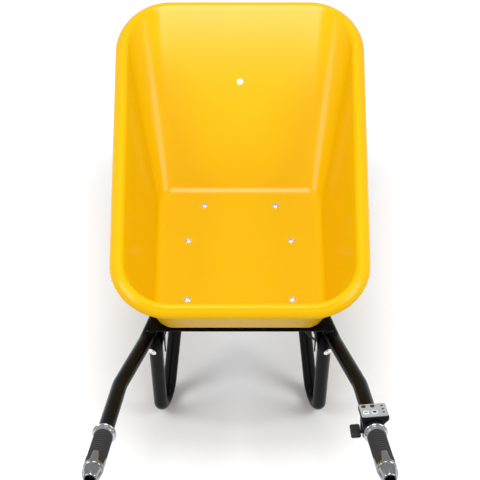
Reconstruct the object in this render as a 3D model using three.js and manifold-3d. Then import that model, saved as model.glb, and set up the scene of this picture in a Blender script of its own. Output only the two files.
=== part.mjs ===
// Power-assisted wheelbarrow: a pressed steel tray on a tube frame, with a hub
// motor in the single front wheel, a battery box under the tray and a thumb
// throttle with a switch box on the right handle.
//
// Millimetres. X is to the right of the person pushing, Y is forward, Z is up.
// The parts are drawn with Y = 0 at the wheel axle; the finished group is moved
// so that its origin is the middle of its footprint, on the floor.

import * as THREE from 'three';
import { mergeVertices } from 'three/addons/utils/BufferGeometryUtils.js';
import Module from 'manifold-3d';

const wasm = await Module();
wasm.setup();

// ---------------------------------------------------------------- dimensions

const GAP = 0.3; // clearance between pieces that touch
const HOLE_CLEARANCE = 0.5; // radial clearance of a bolt in its hole

// Tray
const SHEET = 1.5;
const FLOOR_Z = 352; // underside of the tray floor
const FLOOR_REAR_Y = -587;
const FLOOR_FRONT_Y = -177;
const FLOOR_HALF_REAR = 190;
const FLOOR_HALF_FRONT = 197;
const FLOOR_REAR_CORNER = [42, 58]; // corner radius across, corner radius along
const FLOOR_FRONT_CORNER = [36, 62];
const FLOOR_FILLET = 26;
const RIM_REAR_Y = -660;
const RIM_FRONT_Y = 196;
const RIM_REAR_Z = 545;
const RIM_FRONT_Z = 625;
const RIM_HALF_REAR = 246;
const RIM_HALF_FRONT = 276;
const RIM_REAR_CORNER = [100, 108];
const RIM_FRONT_CORNER = [104, 132];
const LIP_WIDTH = 27;
const LIP_CROWN = 4;
const LIP_DROP = 12;
const PAD_HALF_WIDTH = 88; // plain middle of the floor, clear of the bolts
const PAD_MARGIN = 100; // from the pad to the floor's rear and front edges

// Tubes
const TUBE_OD = 32;
const TUBE_WALL = 1.6;
const TUBE_SIDES = 10;
const HOOP_OD = 25;
const RAIL_FRONT_Y = 90;
const RAIL_HALF_GAP = 84; // tube centre at the front, where the rails are parallel
const RAIL_BEND = 60;
const RISE_BEND = 60;
const RISE_SETBACK = 12; // from the rear strap back to the rails' rise
const END_CAP_PLUG = 14;
const END_CAP_HEAD = 4;
const HANDLE_BEND = 150;
const HANDLE_BEND_AT = [252.5, -775]; // across, along
const GRIP_END = [279, -1079, 558];

// Straps, the flat bars between the tray and the rails
const STRAP_THICKNESS = 4;
const STRAP_WIDTH = 40;
const STRAP_OVERHANG = 7;
const REAR_STRAP_REAR_Y = -589;
const REAR_STRAP_HALF = 202;
const BATTERY_STRAP_WIDTH = 30;

// Bolts: across, along
const FRONT_BOLT = [86.5, -218];
const MID_BOLT = [122.5, -329];
const REAR_BOLT = [120, -504];
const NOSE_BOLT_Y = 46;
const BOLT_DIAMETER = 8;
const BOLT_HEAD = 17;
const BOLT_HEAD_HEIGHT = 3.6;
const NUT_RADIUS = 7.5;
const NUT_HEIGHT = 6.5;
const THREAD_PAST_NUT = 3;

// Legs, in a vertical plane from the rear limb to the mid bolt
const LEG_AT = [192, -582];
const LEG_LEAN = 24.4; // degrees, front limb from the vertical
const LEG_FOOT_BEND = 38;
const LEG_SHOULDER_BEND = 22;
const LEG_REAR_RUN = 90;
const LEG_TOP_BEND = 34;
const LEG_FOOT_FLAT = 0.5; // straight stretch on the ground
const LEG_BOLT_DROP = 18; // below the middle of the run under the rail
const LEG_BOLT_TURN = 25; // degrees outward from straight back
const LEG_BOLT_HEAD = 19;
const LEG_BOLT_LENGTH = 22;
const GUSSET_THICKNESS = 3;
const GUSSET_HEIGHT = 79;
const GUSSET_TIP = 5;
const GUSSET_WIDTH = 24;
const GUSSET_CLEARANCE = 4; // from the rear limb's side

// Wheel with its hub motor, turning about X
const TYRE_OD = 390;
const TYRE_HALF_WIDTH = 47;
const TYRE_WALL = 9;
const TYRE_BELLY_DROP = 6.35; // of the widest point, below the middle of the side
const INNER_TUBE_DROP = 3; // of its middle, below the middle of the side
const INNER_TUBE_ROOM = 25.35; // from the tread to the inner tube
const RIM_FLANGE_R = 113;
const RIM_FLANGE_WIDTH = 3;
const RIM_FLANGE_FIT = 0.79; // beside the tyre
const TYRE_BEAD_INSET = 1; // from the rim's edge
const RIM_SEAT_R = 101;
const RIM_WELL_R = 91;
const RIM_HALF_WIDTH = 36;
const MOTOR_BORE_R = 80;
const MOTOR_HALF_WIDTH = 26;
const COVER_THICKNESS = 4;
const BEARING_OD = 28;
const BEARING_WIDTH = 8;
const AXLE_DIAMETER = 14;
const AXLE_END = 20; // beyond the bracket
const STATOR_R = 75;
const STATOR_HALF_WIDTH = 15;
const BRACKET_THICKNESS = 5;
const BRACKET_HALF_LENGTH = 62;
const BRACKET_EYE_R = 24;
const AXLE_NUT_R = 12.7;
const AXLE_NUT_HEIGHT = 10;

// Battery box
const BOX_HALF_WIDTH = 85;
const BATTERY_STRAP_AHEAD = 64; // of the rear bolts
const BOX_LENGTH = 180;
const BOX_RAIL_GAP = 12.0945946; // from the box's front corners to the rails
const BOX_FLOOR_Z = 217;
const BOX_WALL = 3;
const BOX_CORNER = 14;
const BOX_LID = 6;
const BOX_FIT = 4; // round what the box holds
const CONTROLLER_BAY = 55;
const CONTROLLER_SIZE = [126, 36, 80];
const BATTERY_HEIGHT = 96;
const PORT_R = 13;
const PORT_LENGTH = 10;
const PORT_RISE = 75; // above the box's floor
const GLAND_R = 9;
const GLAND_LENGTH = 13;

// Grips and controls, measured along the handle from its bend
const COLLAR_FLANGE = 8; // beyond the tube
const COLLAR_LENGTH = 14;
const GRIP_WALL = 3; // over the tube
const GRIP_END_AT = 296;
const CONTROL_AT = 121;
const CONTROL_LENGTH = 47;
const CONTROL_INBOARD = 25;
const CONTROL_OUTBOARD = 30;
const CONTROL_COVER = 12; // over the tube
const CONTROL_OVERLAP = 3; // down the tube's side
const CONTROL_WALL = 3;
const FACE_THICKNESS = 2;
const THROTTLE_LENGTH = 11;
const THROTTLE_WALL = 5; // over the tube
const PADDLE_SIZE = [20, 29, 4];
const PADDLE_REACH = 39;
const PADDLE_RISE = 4;
const PADDLE_TILT = 30; // degrees
const SMALL_BUTTON_R = 4.5;
const ROUND_BUTTON_R = 6.2;
const BUTTON_DEPTH = 5; // below the face
const BUTTON_RISE = 1.8; // above the face
const BUTTON_FLANGE = 1;
const FRONT_ROW_MARGIN = 9.9; // from the switch box's front and rear ends
const REAR_ROW_MARGIN = 14.6;
const THROTTLE_CLEARANCE = 1;
const PADDLE_STEM = 8;
const CONTROL_CABLE = 5;
const MOTOR_CABLE = 7;

// ------------------------------------------------------------ derived places

const STRAP_TOP_Z = FLOOR_Z - GAP;
const STRAP_BOTTOM_Z = STRAP_TOP_Z - STRAP_THICKNESS;
const RAIL_Z = STRAP_BOTTOM_Z - GAP - TUBE_OD / 2;
const LEG_RUN_Z = RAIL_Z - TUBE_OD - GAP;
const AXLE_Z = TYRE_OD / 2;
const TYRE_SEAT_R = RIM_SEAT_R + GAP + 1;
const TYRE_BEAD_HALF = RIM_HALF_WIDTH - TYRE_BEAD_INSET;
const TYRE_WIDEST_R = (TYRE_SEAT_R + TYRE_OD / 2) / 2 - TYRE_BELLY_DROP;
const TYRE_FLARE = (TYRE_HALF_WIDTH - TYRE_BEAD_HALF) / (TYRE_WIDEST_R - TYRE_SEAT_R);
const RIM_FLANGE_X = TYRE_BEAD_HALF + (RIM_FLANGE_R - TYRE_SEAT_R) * TYRE_FLARE + RIM_FLANGE_FIT;
const COLLAR_AT = CONTROL_AT + CONTROL_LENGTH + THROTTLE_LENGTH + 2 * THROTTLE_CLEARANCE;
const COLLAR_R = TUBE_OD / 2 + COLLAR_FLANGE;
const GRIP_R = TUBE_OD / 2 + GRIP_WALL;
const CONTROL_TOP = TUBE_OD / 2 + CONTROL_COVER;
const CONTROL_BOTTOM = TUBE_OD / 2 - CONTROL_OVERLAP;
const THROTTLE_R = TUBE_OD / 2 + THROTTLE_WALL;
const BRACKET_X = RAIL_HALF_GAP - TUBE_OD / 2 - GAP - BRACKET_THICKNESS / 2;
const FLOOR_MID_Y = (FLOOR_REAR_Y + FLOOR_FRONT_Y) / 2;
const RAIL_SLOPE = (MID_BOLT[0] - FRONT_BOLT[0]) / (FRONT_BOLT[1] - MID_BOLT[1]);
const BOX_TOP_Z = STRAP_BOTTOM_Z - GAP;
const BOX_FRONT_Y = FRONT_BOLT[1]
  - (BOX_HALF_WIDTH + BOX_RAIL_GAP + TUBE_OD / 2 - FRONT_BOLT[0]) / RAIL_SLOPE;
const BOX_REAR_Y = BOX_FRONT_Y - BOX_LENGTH;
const BOX_MID_Y = (BOX_REAR_Y + BOX_FRONT_Y) / 2;
const BATTERY_STRAP_Y = REAR_BOLT[1] + BATTERY_STRAP_AHEAD;

// ----------------------------------------------------------------- materials

function finish(colour, roughness, metalness) {
  return new THREE.MeshStandardMaterial({ color: colour, roughness, metalness });
}

const TRAY_PAINT = finish('#f7bf00', 0.3, 0);
const FRAME_PAINT = finish('#0d0d0e', 0.25, 0);
const ZINC = finish('#d5d6d4', 0.35, 1);
const CHROME = finish('#e8e8e8', 0.08, 1);
const ALUMINIUM = finish('#9fa1a3', 0.4, 1);
const GRIP_RUBBER = finish('#2c2c2d', 0.8, 0);
const TYRE_RUBBER = finish('#1b1b1c', 0.85, 0);
const BLACK_PLASTIC = finish('#17171a', 0.5, 0);
const GREY_PLASTIC = finish('#6f7072', 0.45, 0);
const CABLE_JACKET = finish('#101011', 0.6, 0);
const CELL_WRAP = finish('#2a5f9e', 0.4, 0);
const COPPER = finish('#a8602f', 0.4, 1);
const STEEL = finish('#8d8f92', 0.35, 1);

// ------------------------------------------------------------------- helpers

const group = new THREE.Group();

function add(name, geometry, material, parent = group) {
  const mesh = new THREE.Mesh(geometry, material);
  mesh.name = name;
  parent.add(mesh);
  return mesh;
}

// Keeps only positions, joins shared vertices, drops the slivers of no area
// that poles leave, and turns an inside-out shape round.
function solid(geometry) {
  geometry.deleteAttribute('normal');
  geometry.deleteAttribute('uv');
  const merged = mergeVertices(geometry, 1e-3);
  const place = merged.attributes.position;
  const kept = [];
  const [a, b, c] = [new THREE.Vector3(), new THREE.Vector3(), new THREE.Vector3()];
  let volume = 0;
  for (let i = 0; i < merged.index.count; i += 3) {
    const tri = [merged.index.getX(i), merged.index.getX(i + 1), merged.index.getX(i + 2)];
    if (tri[0] === tri[1] || tri[1] === tri[2] || tri[2] === tri[0]) continue;
    a.fromBufferAttribute(place, tri[0]);
    b.fromBufferAttribute(place, tri[1]);
    c.fromBufferAttribute(place, tri[2]);
    volume += a.dot(b.cross(c));
    kept.push(...tri);
  }
  if (volume < 0) kept.reverse();
  merged.setIndex(kept);
  return merged;
}

// Every triangle has its own face number, so a cut leaves the others alone.
function toManifold(geometry) {
  const shape = solid(geometry.clone());
  const triVerts = new Uint32Array(shape.index.array);
  const faceID = Uint32Array.from({ length: triVerts.length / 3 }, (_, i) => i);
  const vertProperties = new Float32Array(shape.attributes.position.array);
  return new wasm.Manifold(new wasm.Mesh({ numProp: 3, vertProperties, triVerts, faceID }));
}

function fromManifold(manifold) {
  const mesh = manifold.getMesh();
  const geometry = new THREE.BufferGeometry();
  geometry.setAttribute('position', new THREE.BufferAttribute(mesh.vertProperties, 3));
  geometry.setIndex(new THREE.BufferAttribute(mesh.triVerts, 1));
  return geometry;
}

function cut(geometry, ...tools) {
  return fromManifold(tools.reduce((body, tool) => body.subtract(toManifold(tool)), toManifold(geometry)));
}

function join(...shapes) {
  const [first, ...others] = shapes.map(toManifold);
  return fromManifold(others.reduce((body, other) => body.add(other), first));
}

function box(width, depth, height, x, y, z) {
  return solid(new THREE.BoxGeometry(width, depth, height).translate(x, y, z));
}

// A turned piece on the Z axis, from [radius, height] pairs.
function turned(profile, sides) {
  const points = profile.map(([radius, height]) => new THREE.Vector2(radius, height));
  return solid(new THREE.LatheGeometry(points, sides).rotateX(Math.PI / 2));
}

// The same with a closed section that stays off the axis.
function ring(profile, sides) {
  return turned([...profile, profile[0]], sides);
}

function tubeRing(inner, outer, low, high, sides) {
  return ring([[inner, low], [outer, low], [outer, high], [inner, high]], sides);
}

function cylinder(radius, low, high, sides = 16) {
  return turned([[0, low], [radius, low], [radius, high], [0, high]], sides);
}

function alongX(geometry) {
  return geometry.rotateY(Math.PI / 2);
}

function polygon(radius, sides) {
  const corner = (i) => {
    const angle = (2 * Math.PI * i) / sides;
    return new THREE.Vector2(radius * Math.cos(angle), radius * Math.sin(angle));
  };
  return Array.from({ length: sides }, (_, i) => corner(i));
}

function roundedRectangle(x0, y0, x1, y1, radius) {
  const shape = new THREE.Shape();
  shape.moveTo(x0 + radius, y0);
  shape.lineTo(x1 - radius, y0);
  shape.absarc(x1 - radius, y0 + radius, radius, -Math.PI / 2, 0);
  shape.lineTo(x1, y1 - radius);
  shape.absarc(x1 - radius, y1 - radius, radius, 0, Math.PI / 2);
  shape.lineTo(x0 + radius, y1);
  shape.absarc(x0 + radius, y1 - radius, radius, Math.PI / 2, Math.PI);
  shape.lineTo(x0, y0 + radius);
  shape.absarc(x0 + radius, y0 + radius, radius, Math.PI, 1.5 * Math.PI);
  return shape;
}

function extruded(shape, low, high, curveSegments = 4) {
  const depth = high - low;
  const geometry = new THREE.ExtrudeGeometry(shape, { depth, bevelEnabled: false, curveSegments });
  return solid(geometry.translate(0, 0, low));
}

// A path through stated stations, so that straight runs take one step each.
class StationPath extends THREE.Curve {
  constructor(stations) {
    super();
    this.stations = stations;
  }

  getPointAt(u, target = new THREE.Vector3()) {
    return target.copy(this.stations[Math.round(u * (this.stations.length - 1))]);
  }

  getSpacedPoints() {
    return this.stations;
  }

  getTangentAt(u, target = new THREE.Vector3()) {
    const last = this.stations.length - 1;
    const i = Math.round(u * last);
    const before = this.stations[Math.max(i - 1, 0)];
    const after = this.stations[Math.min(i + 1, last)];
    return target.subVectors(after, before).normalize();
  }
}

// Stations along straight legs whose corners are rounded to the given radii.
function bentPath(points, radii, steps) {
  const stations = [points[0].clone()];
  for (let i = 1; i < points.length - 1; i++) {
    const back = points[i - 1].clone().sub(points[i]).normalize();
    const onward = points[i + 1].clone().sub(points[i]).normalize();
    const half = back.angleTo(onward) / 2;
    const tangent = radii[i - 1] / Math.tan(half);
    const middle = back.clone().add(onward).normalize();
    const centre = points[i].clone().addScaledVector(middle, radii[i - 1] / Math.sin(half));
    const start = points[i].clone().addScaledVector(back, tangent).sub(centre);
    const end = points[i].clone().addScaledVector(onward, tangent).sub(centre);
    const axis = start.clone().cross(end).normalize();
    const angle = start.angleTo(end);
    for (let k = 0; k <= steps; k++) {
      stations.push(start.clone().applyAxisAngle(axis, (angle * k) / steps).add(centre));
    }
  }
  stations.push(points.at(-1).clone());
  return stations;
}

function sweep(stations, radius, sides, boreRadius = 0) {
  const section = new THREE.Shape(polygon(radius, sides));
  if (boreRadius > 0) section.holes.push(new THREE.Path(polygon(boreRadius, sides)));
  const extrudePath = new StationPath(stations);
  const options = { steps: stations.length - 1, bevelEnabled: false, extrudePath };
  return solid(new THREE.ExtrudeGeometry(section, options));
}

function tube(stations, diameter, sides) {
  return sweep(stations, diameter / 2, sides, diameter / 2 - TUBE_WALL);
}

// --------------------------------------------------------------------- bolts

// A round-headed bolt standing on Z, with the underside of its head at z = 0.
function roundBolt(length, headDiameter) {
  const head = headDiameter / 2;
  const shank = BOLT_DIAMETER / 2;
  const dome = [[0, BOLT_HEAD_HEIGHT], [head * 0.5, BOLT_HEAD_HEIGHT * 0.85]];
  dome.push([head * 0.85, BOLT_HEAD_HEIGHT * 0.5], [head, BOLT_HEAD_HEIGHT * 0.15]);
  return turned([...dome, [head, 0], [shank, 0], [shank, -length], [0, -length]], 8);
}

// The same with its nut run up under a stack of the given thickness.
function boltWithNut(stack) {
  const nut = cylinder(NUT_RADIUS, -stack - GAP - NUT_HEIGHT, -stack - GAP, 6);
  return join(roundBolt(stack + GAP + NUT_HEIGHT + THREAD_PAST_NUT, BOLT_HEAD), nut);
}

function boltHole(x, y) {
  const radius = BOLT_DIAMETER / 2 + HOLE_CLEARANCE;
  return cylinder(radius, LEG_RUN_Z - TUBE_OD, FLOOR_Z + 20, 8).translate(x, y, 0);
}

// ---------------------------------------------------------------------- tray

const CORNER_STEPS = 6;

// Points round a tray outline, anticlockwise from the middle of the rear edge.
// The sides slant from one half width to the other; corners are quarter ellipses.
function outline({ rearY, frontY, halfRear, halfFront, rearCorner, frontCorner }) {
  const halfAt = (y) => halfRear + ((halfFront - halfRear) * (y - rearY)) / (frontY - rearY);
  const right = [];
  for (let k = 0; k <= CORNER_STEPS; k++) {
    const angle = (Math.PI / 2 / CORNER_STEPS) * k;
    const y = rearY + rearCorner[1] * (1 - Math.cos(angle));
    right.push([halfAt(y) - rearCorner[0] * (1 - Math.sin(angle)), y]);
  }
  const middle = (rearY + rearCorner[1] + frontY - frontCorner[1]) / 2;
  right.push([halfAt(middle), middle]);
  for (let k = 0; k <= CORNER_STEPS; k++) {
    const angle = (Math.PI / 2 / CORNER_STEPS) * k;
    const y = frontY - frontCorner[1] * (1 - Math.sin(angle));
    right.push([halfAt(y) - frontCorner[0] * (1 - Math.cos(angle)), y]);
  }
  const left = right.map(([x, y]) => [-x, y]).reverse();
  return [[0, rearY], ...right, [0, frontY], ...left];
}

function rimHeight(y) {
  return RIM_REAR_Z + ((RIM_FRONT_Z - RIM_REAR_Z) * (y - RIM_REAR_Y)) / (RIM_FRONT_Y - RIM_REAR_Y);
}

// The loops of the tray's upper face, from the floor pad out to the lip's edge.
function trayLoops() {
  const inside = FLOOR_Z + SHEET;
  const pad = outline({
    rearY: FLOOR_REAR_Y + PAD_MARGIN,
    frontY: FLOOR_FRONT_Y - PAD_MARGIN,
    halfRear: PAD_HALF_WIDTH,
    halfFront: PAD_HALF_WIDTH,
    rearCorner: [20, 20],
    frontCorner: [20, 20],
  });
  const floor = outline({
    rearY: FLOOR_REAR_Y,
    frontY: FLOOR_FRONT_Y,
    halfRear: FLOOR_HALF_REAR,
    halfFront: FLOOR_HALF_FRONT,
    rearCorner: FLOOR_REAR_CORNER,
    frontCorner: FLOOR_FRONT_CORNER,
  });
  const rim = outline({
    rearY: RIM_REAR_Y,
    frontY: RIM_FRONT_Y,
    halfRear: RIM_HALF_REAR,
    halfFront: RIM_HALF_FRONT,
    rearCorner: RIM_REAR_CORNER,
    frontCorner: RIM_FRONT_CORNER,
  });
  const count = rim.length;
  const edge = floor.map(([x, y]) => new THREE.Vector3(x, y, inside));
  const top = rim.map(([x, y]) => new THREE.Vector3(x, y, rimHeight(y)));
  const outward = top.map((_, i) => {
    const along = top[(i + 1) % count].clone().sub(top[(i + count - 1) % count]);
    return new THREE.Vector3(along.y, -along.x, 0).normalize();
  });
  const inset = edge.map((p, i) => p.clone().addScaledVector(outward[i], -FLOOR_FILLET));
  const upWall = edge.map((p, i) => top[i].clone().sub(p).setLength(FLOOR_FILLET).add(p));
  const loops = [pad.map(([x, y]) => new THREE.Vector3(x, y, inside)), inset];
  for (const t of [0.25, 0.5, 0.75]) {
    loops.push(edge.map((p, i) => {
      const low = inset[i].clone().lerp(p, t);
      const high = p.clone().lerp(upWall[i], t);
      return low.lerp(high, t);
    }));
  }
  loops.push(upWall, top);
  for (const share of [0.16, 0.42, 0.7, 0.9, 1]) {
    const rise = LIP_CROWN * Math.sin(Math.PI * Math.min(share, 0.62) / 0.72);
    const fall = LIP_DROP * Math.max(0, (share - 0.36) / 0.64) ** 2.4;
    loops.push(top.map((p, i) => {
      const point = p.clone().addScaledVector(outward[i], LIP_WIDTH * share);
      point.z += rise - fall;
      return point;
    }));
  }
  return loops;
}

// Unit normals of the upper face at every point of a loop.
function loopNormals(loops, level) {
  const count = loops[level].length;
  if (level < 2) return loops[level].map(() => new THREE.Vector3(0, 0, 1));
  const below = loops[level - 1];
  const above = loops[Math.min(level + 1, loops.length - 1)];
  return loops[level].map((_, i) => {
    const round = loops[level][(i + 1) % count].clone().sub(loops[level][(i + count - 1) % count]);
    const across = above[i].clone().sub(below[i]);
    return round.cross(across).normalize().multiplyScalar(-1);
  });
}

function trayShell() {
  const loops = trayLoops();
  const count = loops[0].length;
  const position = [];
  const index = [];
  const put = (p) => position.push(p.x, p.y, p.z) / 3 - 1;
  const inside = loops.map((loop) => loop.map(put));
  const outside = loops.map((loop, level) => {
    const normals = loopNormals(loops, level);
    return loop.map((p, i) => put(p.clone().addScaledVector(normals[i], -SHEET)));
  });
  const band = (lower, upper) => {
    for (let i = 0; i < count; i++) {
      const next = (i + 1) % count;
      index.push(lower[i], lower[next], upper[next], lower[i], upper[next], upper[i]);
    }
  };
  for (let level = 0; level < loops.length - 1; level++) {
    band(inside[level + 1], inside[level]);
    band(outside[level], outside[level + 1]);
  }
  band(outside.at(-1), inside.at(-1));
  const upper = put(new THREE.Vector3(0, FLOOR_MID_Y, FLOOR_Z + SHEET));
  const lower = put(new THREE.Vector3(0, FLOOR_MID_Y, FLOOR_Z));
  for (let i = 0; i < count; i++) {
    const next = (i + 1) % count;
    index.push(upper, inside[0][i], inside[0][next]);
    index.push(lower, outside[0][next], outside[0][i]);
  }
  const geometry = new THREE.BufferGeometry();
  geometry.setAttribute('position', new THREE.Float32BufferAttribute(position, 3));
  geometry.setIndex(index);
  return geometry;
}

// The front wall's slope on the centre line, and the nose bolt's place on it.
const wallRise = rimHeight(RIM_FRONT_Y) - (FLOOR_Z + SHEET);
const wallRun = RIM_FRONT_Y - FLOOR_FRONT_Y;
const wallAngle = Math.atan2(wallRise, wallRun);
const noseZ = FLOOR_Z + SHEET + (NOSE_BOLT_Y - FLOOR_FRONT_Y) * Math.tan(wallAngle);

function onNose(geometry) {
  return geometry.rotateX(wallAngle).translate(0, NOSE_BOLT_Y, noseZ);
}

function noseHole() {
  const radius = BOLT_DIAMETER / 2 + HOLE_CLEARANCE;
  return onNose(cylinder(radius, -60, 20, 8));
}

function makeTray() {
  const holes = [FRONT_BOLT, MID_BOLT, REAR_BOLT].flatMap(([x, y]) => [boltHole(x, y), boltHole(-x, y)]);
  add('tray', cut(trayShell(), ...holes, noseHole()), TRAY_PAINT);
}

function makeTrayBolts() {
  const lift = FLOOR_Z + SHEET + GAP;
  const stacks = [
    ['front', FRONT_BOLT, lift - (RAIL_Z - TUBE_OD / 2)],
    ['mid', MID_BOLT, lift - (LEG_RUN_Z - TUBE_OD / 2)],
    ['rear', REAR_BOLT, lift - STRAP_BOTTOM_Z],
  ];
  for (const [name, [x, y], stack] of stacks) {
    add(`${name}_tray_bolt_left`, boltWithNut(stack).translate(-x, y, lift), ZINC);
    add(`${name}_tray_bolt_right`, boltWithNut(stack).translate(x, y, lift), ZINC);
  }
  const noseStack = SHEET + 2 * GAP + HOOP_OD;
  add('nose_bolt', onNose(boltWithNut(noseStack).translate(0, 0, GAP)), ZINC);
}

// --------------------------------------------------------------------- frame

function railX(y) {
  return FRONT_BOLT[0] + (FRONT_BOLT[1] - y) * RAIL_SLOPE;
}

// Where the rails start to rise: the bend begins behind the rear strap.
const riseRun = Math.hypot(GRIP_END[0] - HANDLE_BEND_AT[0], GRIP_END[1] - HANDLE_BEND_AT[1]);
const RISE_Y = REAR_STRAP_REAR_Y - RISE_SETBACK;
const riseStart = new THREE.Vector3(railX(RISE_Y), RISE_Y, RAIL_Z);
const handleRun = Math.hypot(HANDLE_BEND_AT[0] - riseStart.x, HANDLE_BEND_AT[1] - RISE_Y);
const riseSlope = (GRIP_END[2] - RAIL_Z) / (riseRun + handleRun);
const handleBend = new THREE.Vector3(...HANDLE_BEND_AT, RAIL_Z + handleRun * riseSlope);
const gripEnd = new THREE.Vector3(...GRIP_END);

function onSide(vector, side) {
  return new THREE.Vector3(vector.x * side, vector.y, vector.z);
}

function railPath(side) {
  const parallelY = FRONT_BOLT[1] + (FRONT_BOLT[0] - RAIL_HALF_GAP) / RAIL_SLOPE;
  const tubeEnd = gripEnd.clone().sub(handleBend).setLength(GRIP_END_AT).add(handleBend);
  const points = [
    new THREE.Vector3(RAIL_HALF_GAP, RAIL_FRONT_Y, RAIL_Z),
    new THREE.Vector3(RAIL_HALF_GAP, parallelY, RAIL_Z),
    riseStart,
    handleBend,
    tubeEnd,
  ];
  return bentPath(points.map((p) => onSide(p, side)), [RAIL_BEND, RISE_BEND, HANDLE_BEND], 3);
}

function makeHandleTube(name, side) {
  const body = tube(railPath(side), TUBE_OD, TUBE_SIDES);
  const holes = [FRONT_BOLT, MID_BOLT].map(([x, y]) => boltHole(side * x, y));
  add(`${name}_handle_tube`, cut(body, ...holes), FRAME_PAINT);
  const plug = (TUBE_OD / 2 - TUBE_WALL) * Math.cos(Math.PI / TUBE_SIDES) - GAP;
  const shoulder = END_CAP_PLUG + GAP;
  const crown = END_CAP_PLUG + END_CAP_HEAD;
  const cap = turned([[0, 0], [plug, 0], [plug, shoulder], [TUBE_OD / 2, shoulder],
    [TUBE_OD / 2 - 1, crown - 0.5], [0, crown]], 16);
  cap.rotateX(-Math.PI / 2).translate(side * RAIL_HALF_GAP, RAIL_FRONT_Y - END_CAP_PLUG, RAIL_Z);
  add(`${name}_rail_end_cap`, cap, BLACK_PLASTIC);
}

function strap(rearY, width, half) {
  return box(2 * half, width, STRAP_THICKNESS, 0, rearY + width / 2, STRAP_BOTTOM_Z + STRAP_THICKNESS / 2);
}

function makeStraps() {
  add('rear_cross_strap', strap(REAR_STRAP_REAR_Y, STRAP_WIDTH, REAR_STRAP_HALF), FRAME_PAINT);
  for (const [name, [x, y]] of [['front', FRONT_BOLT], ['mid', MID_BOLT], ['rear', REAR_BOLT]]) {
    const bar = strap(y - STRAP_WIDTH / 2, STRAP_WIDTH, railX(y) + STRAP_OVERHANG);
    add(`${name}_bolt_strap`, cut(bar, boltHole(x, y), boltHole(-x, y)), FRAME_PAINT);
  }
  const half = railX(BATTERY_STRAP_Y) + STRAP_OVERHANG;
  const bar = strap(BATTERY_STRAP_Y - BATTERY_STRAP_WIDTH / 2, BATTERY_STRAP_WIDTH, half);
  add('battery_strap', bar, FRAME_PAINT);
}

function makeNoseHoop() {
  const drop = SHEET + GAP + HOOP_OD / 2;
  const y = NOSE_BOLT_Y + drop * Math.sin(wallAngle);
  const top = noseZ - drop * Math.cos(wallAngle);
  const points = [
    new THREE.Vector3(-RAIL_HALF_GAP, y, RAIL_Z),
    new THREE.Vector3(-RAIL_HALF_GAP, y, top),
    new THREE.Vector3(RAIL_HALF_GAP, y, top),
    new THREE.Vector3(RAIL_HALF_GAP, y, RAIL_Z),
  ];
  const hoop = tube(bentPath(points, [45, 45], 4), HOOP_OD, 8);
  const saddle = (side) => {
    const span = 2 * HOOP_OD;
    const tool = cylinder(TUBE_OD / 2 + GAP, -span, span, TUBE_SIDES).rotateX(Math.PI / 2);
    return tool.translate(side * RAIL_HALF_GAP, y, RAIL_Z);
  };
  const under = (side) => box(2 * HOOP_OD, 2 * HOOP_OD, HOOP_OD,
    side * RAIL_HALF_GAP, y, RAIL_Z - HOOP_OD / 2);
  add('nose_hoop', cut(hoop, saddle(-1), saddle(1), under(-1), under(1), noseHole()), FRAME_PAINT);
}

// A leg lies in the vertical plane through its rear limb and the mid bolt.
const legForward = new THREE.Vector3(MID_BOLT[0] - LEG_AT[0], MID_BOLT[1] - LEG_AT[1], 0);
const legToBolt = legForward.length();
legForward.normalize();

function legPoint(side, forward, z) {
  const point = new THREE.Vector3(LEG_AT[0], LEG_AT[1], z);
  return onSide(point.addScaledVector(legForward, forward), side);
}

function makeLeg(name, side) {
  const lean = THREE.MathUtils.degToRad(LEG_LEAN);
  const footZ = TUBE_OD / 2;
  const turn = Math.PI / 2 - lean;
  const toe = LEG_FOOT_BEND + LEG_FOOT_BEND * Math.tan(turn / 2);
  const head = toe + (LEG_RUN_Z - footZ) * Math.tan(lean);
  const points = [
    legPoint(side, LEG_REAR_RUN, LEG_RUN_Z),
    legPoint(side, 0, LEG_RUN_Z),
    legPoint(side, 0, footZ),
    legPoint(side, toe + LEG_FOOT_FLAT, footZ),
    legPoint(side, head, LEG_RUN_Z),
    legPoint(side, legToBolt + 20, LEG_RUN_Z),
  ];
  const radii = [LEG_SHOULDER_BEND, LEG_FOOT_BEND, LEG_FOOT_BEND, LEG_TOP_BEND];
  const body = tube(bentPath(points, radii, 3), TUBE_OD, TUBE_SIDES);
  const radius = BOLT_DIAMETER / 2 + HOLE_CLEARANCE;
  const cross = onLegBolt(cylinder(radius, 0, TUBE_OD, 8), side);
  const midHole = boltHole(side * MID_BOLT[0], MID_BOLT[1]);
  add(`${name}_leg_tube`, cut(body, cross, midHole), FRAME_PAINT);
  const bolt = roundBolt(LEG_BOLT_LENGTH, LEG_BOLT_HEAD).translate(0, 0, TUBE_OD / 2 + GAP);
  add(`${name}_leg_bolt`, onLegBolt(bolt, side), ZINC);
}

// Lays a piece drawn on Z across the rear limb, head backward and a little outward.
function onLegBolt(geometry, side) {
  geometry.rotateX(Math.PI / 2);
  geometry.rotateZ(side * THREE.MathUtils.degToRad(LEG_BOLT_TURN));
  return geometry.translate(side * LEG_AT[0], LEG_AT[1], LEG_RUN_Z - LEG_BOLT_DROP);
}

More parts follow.
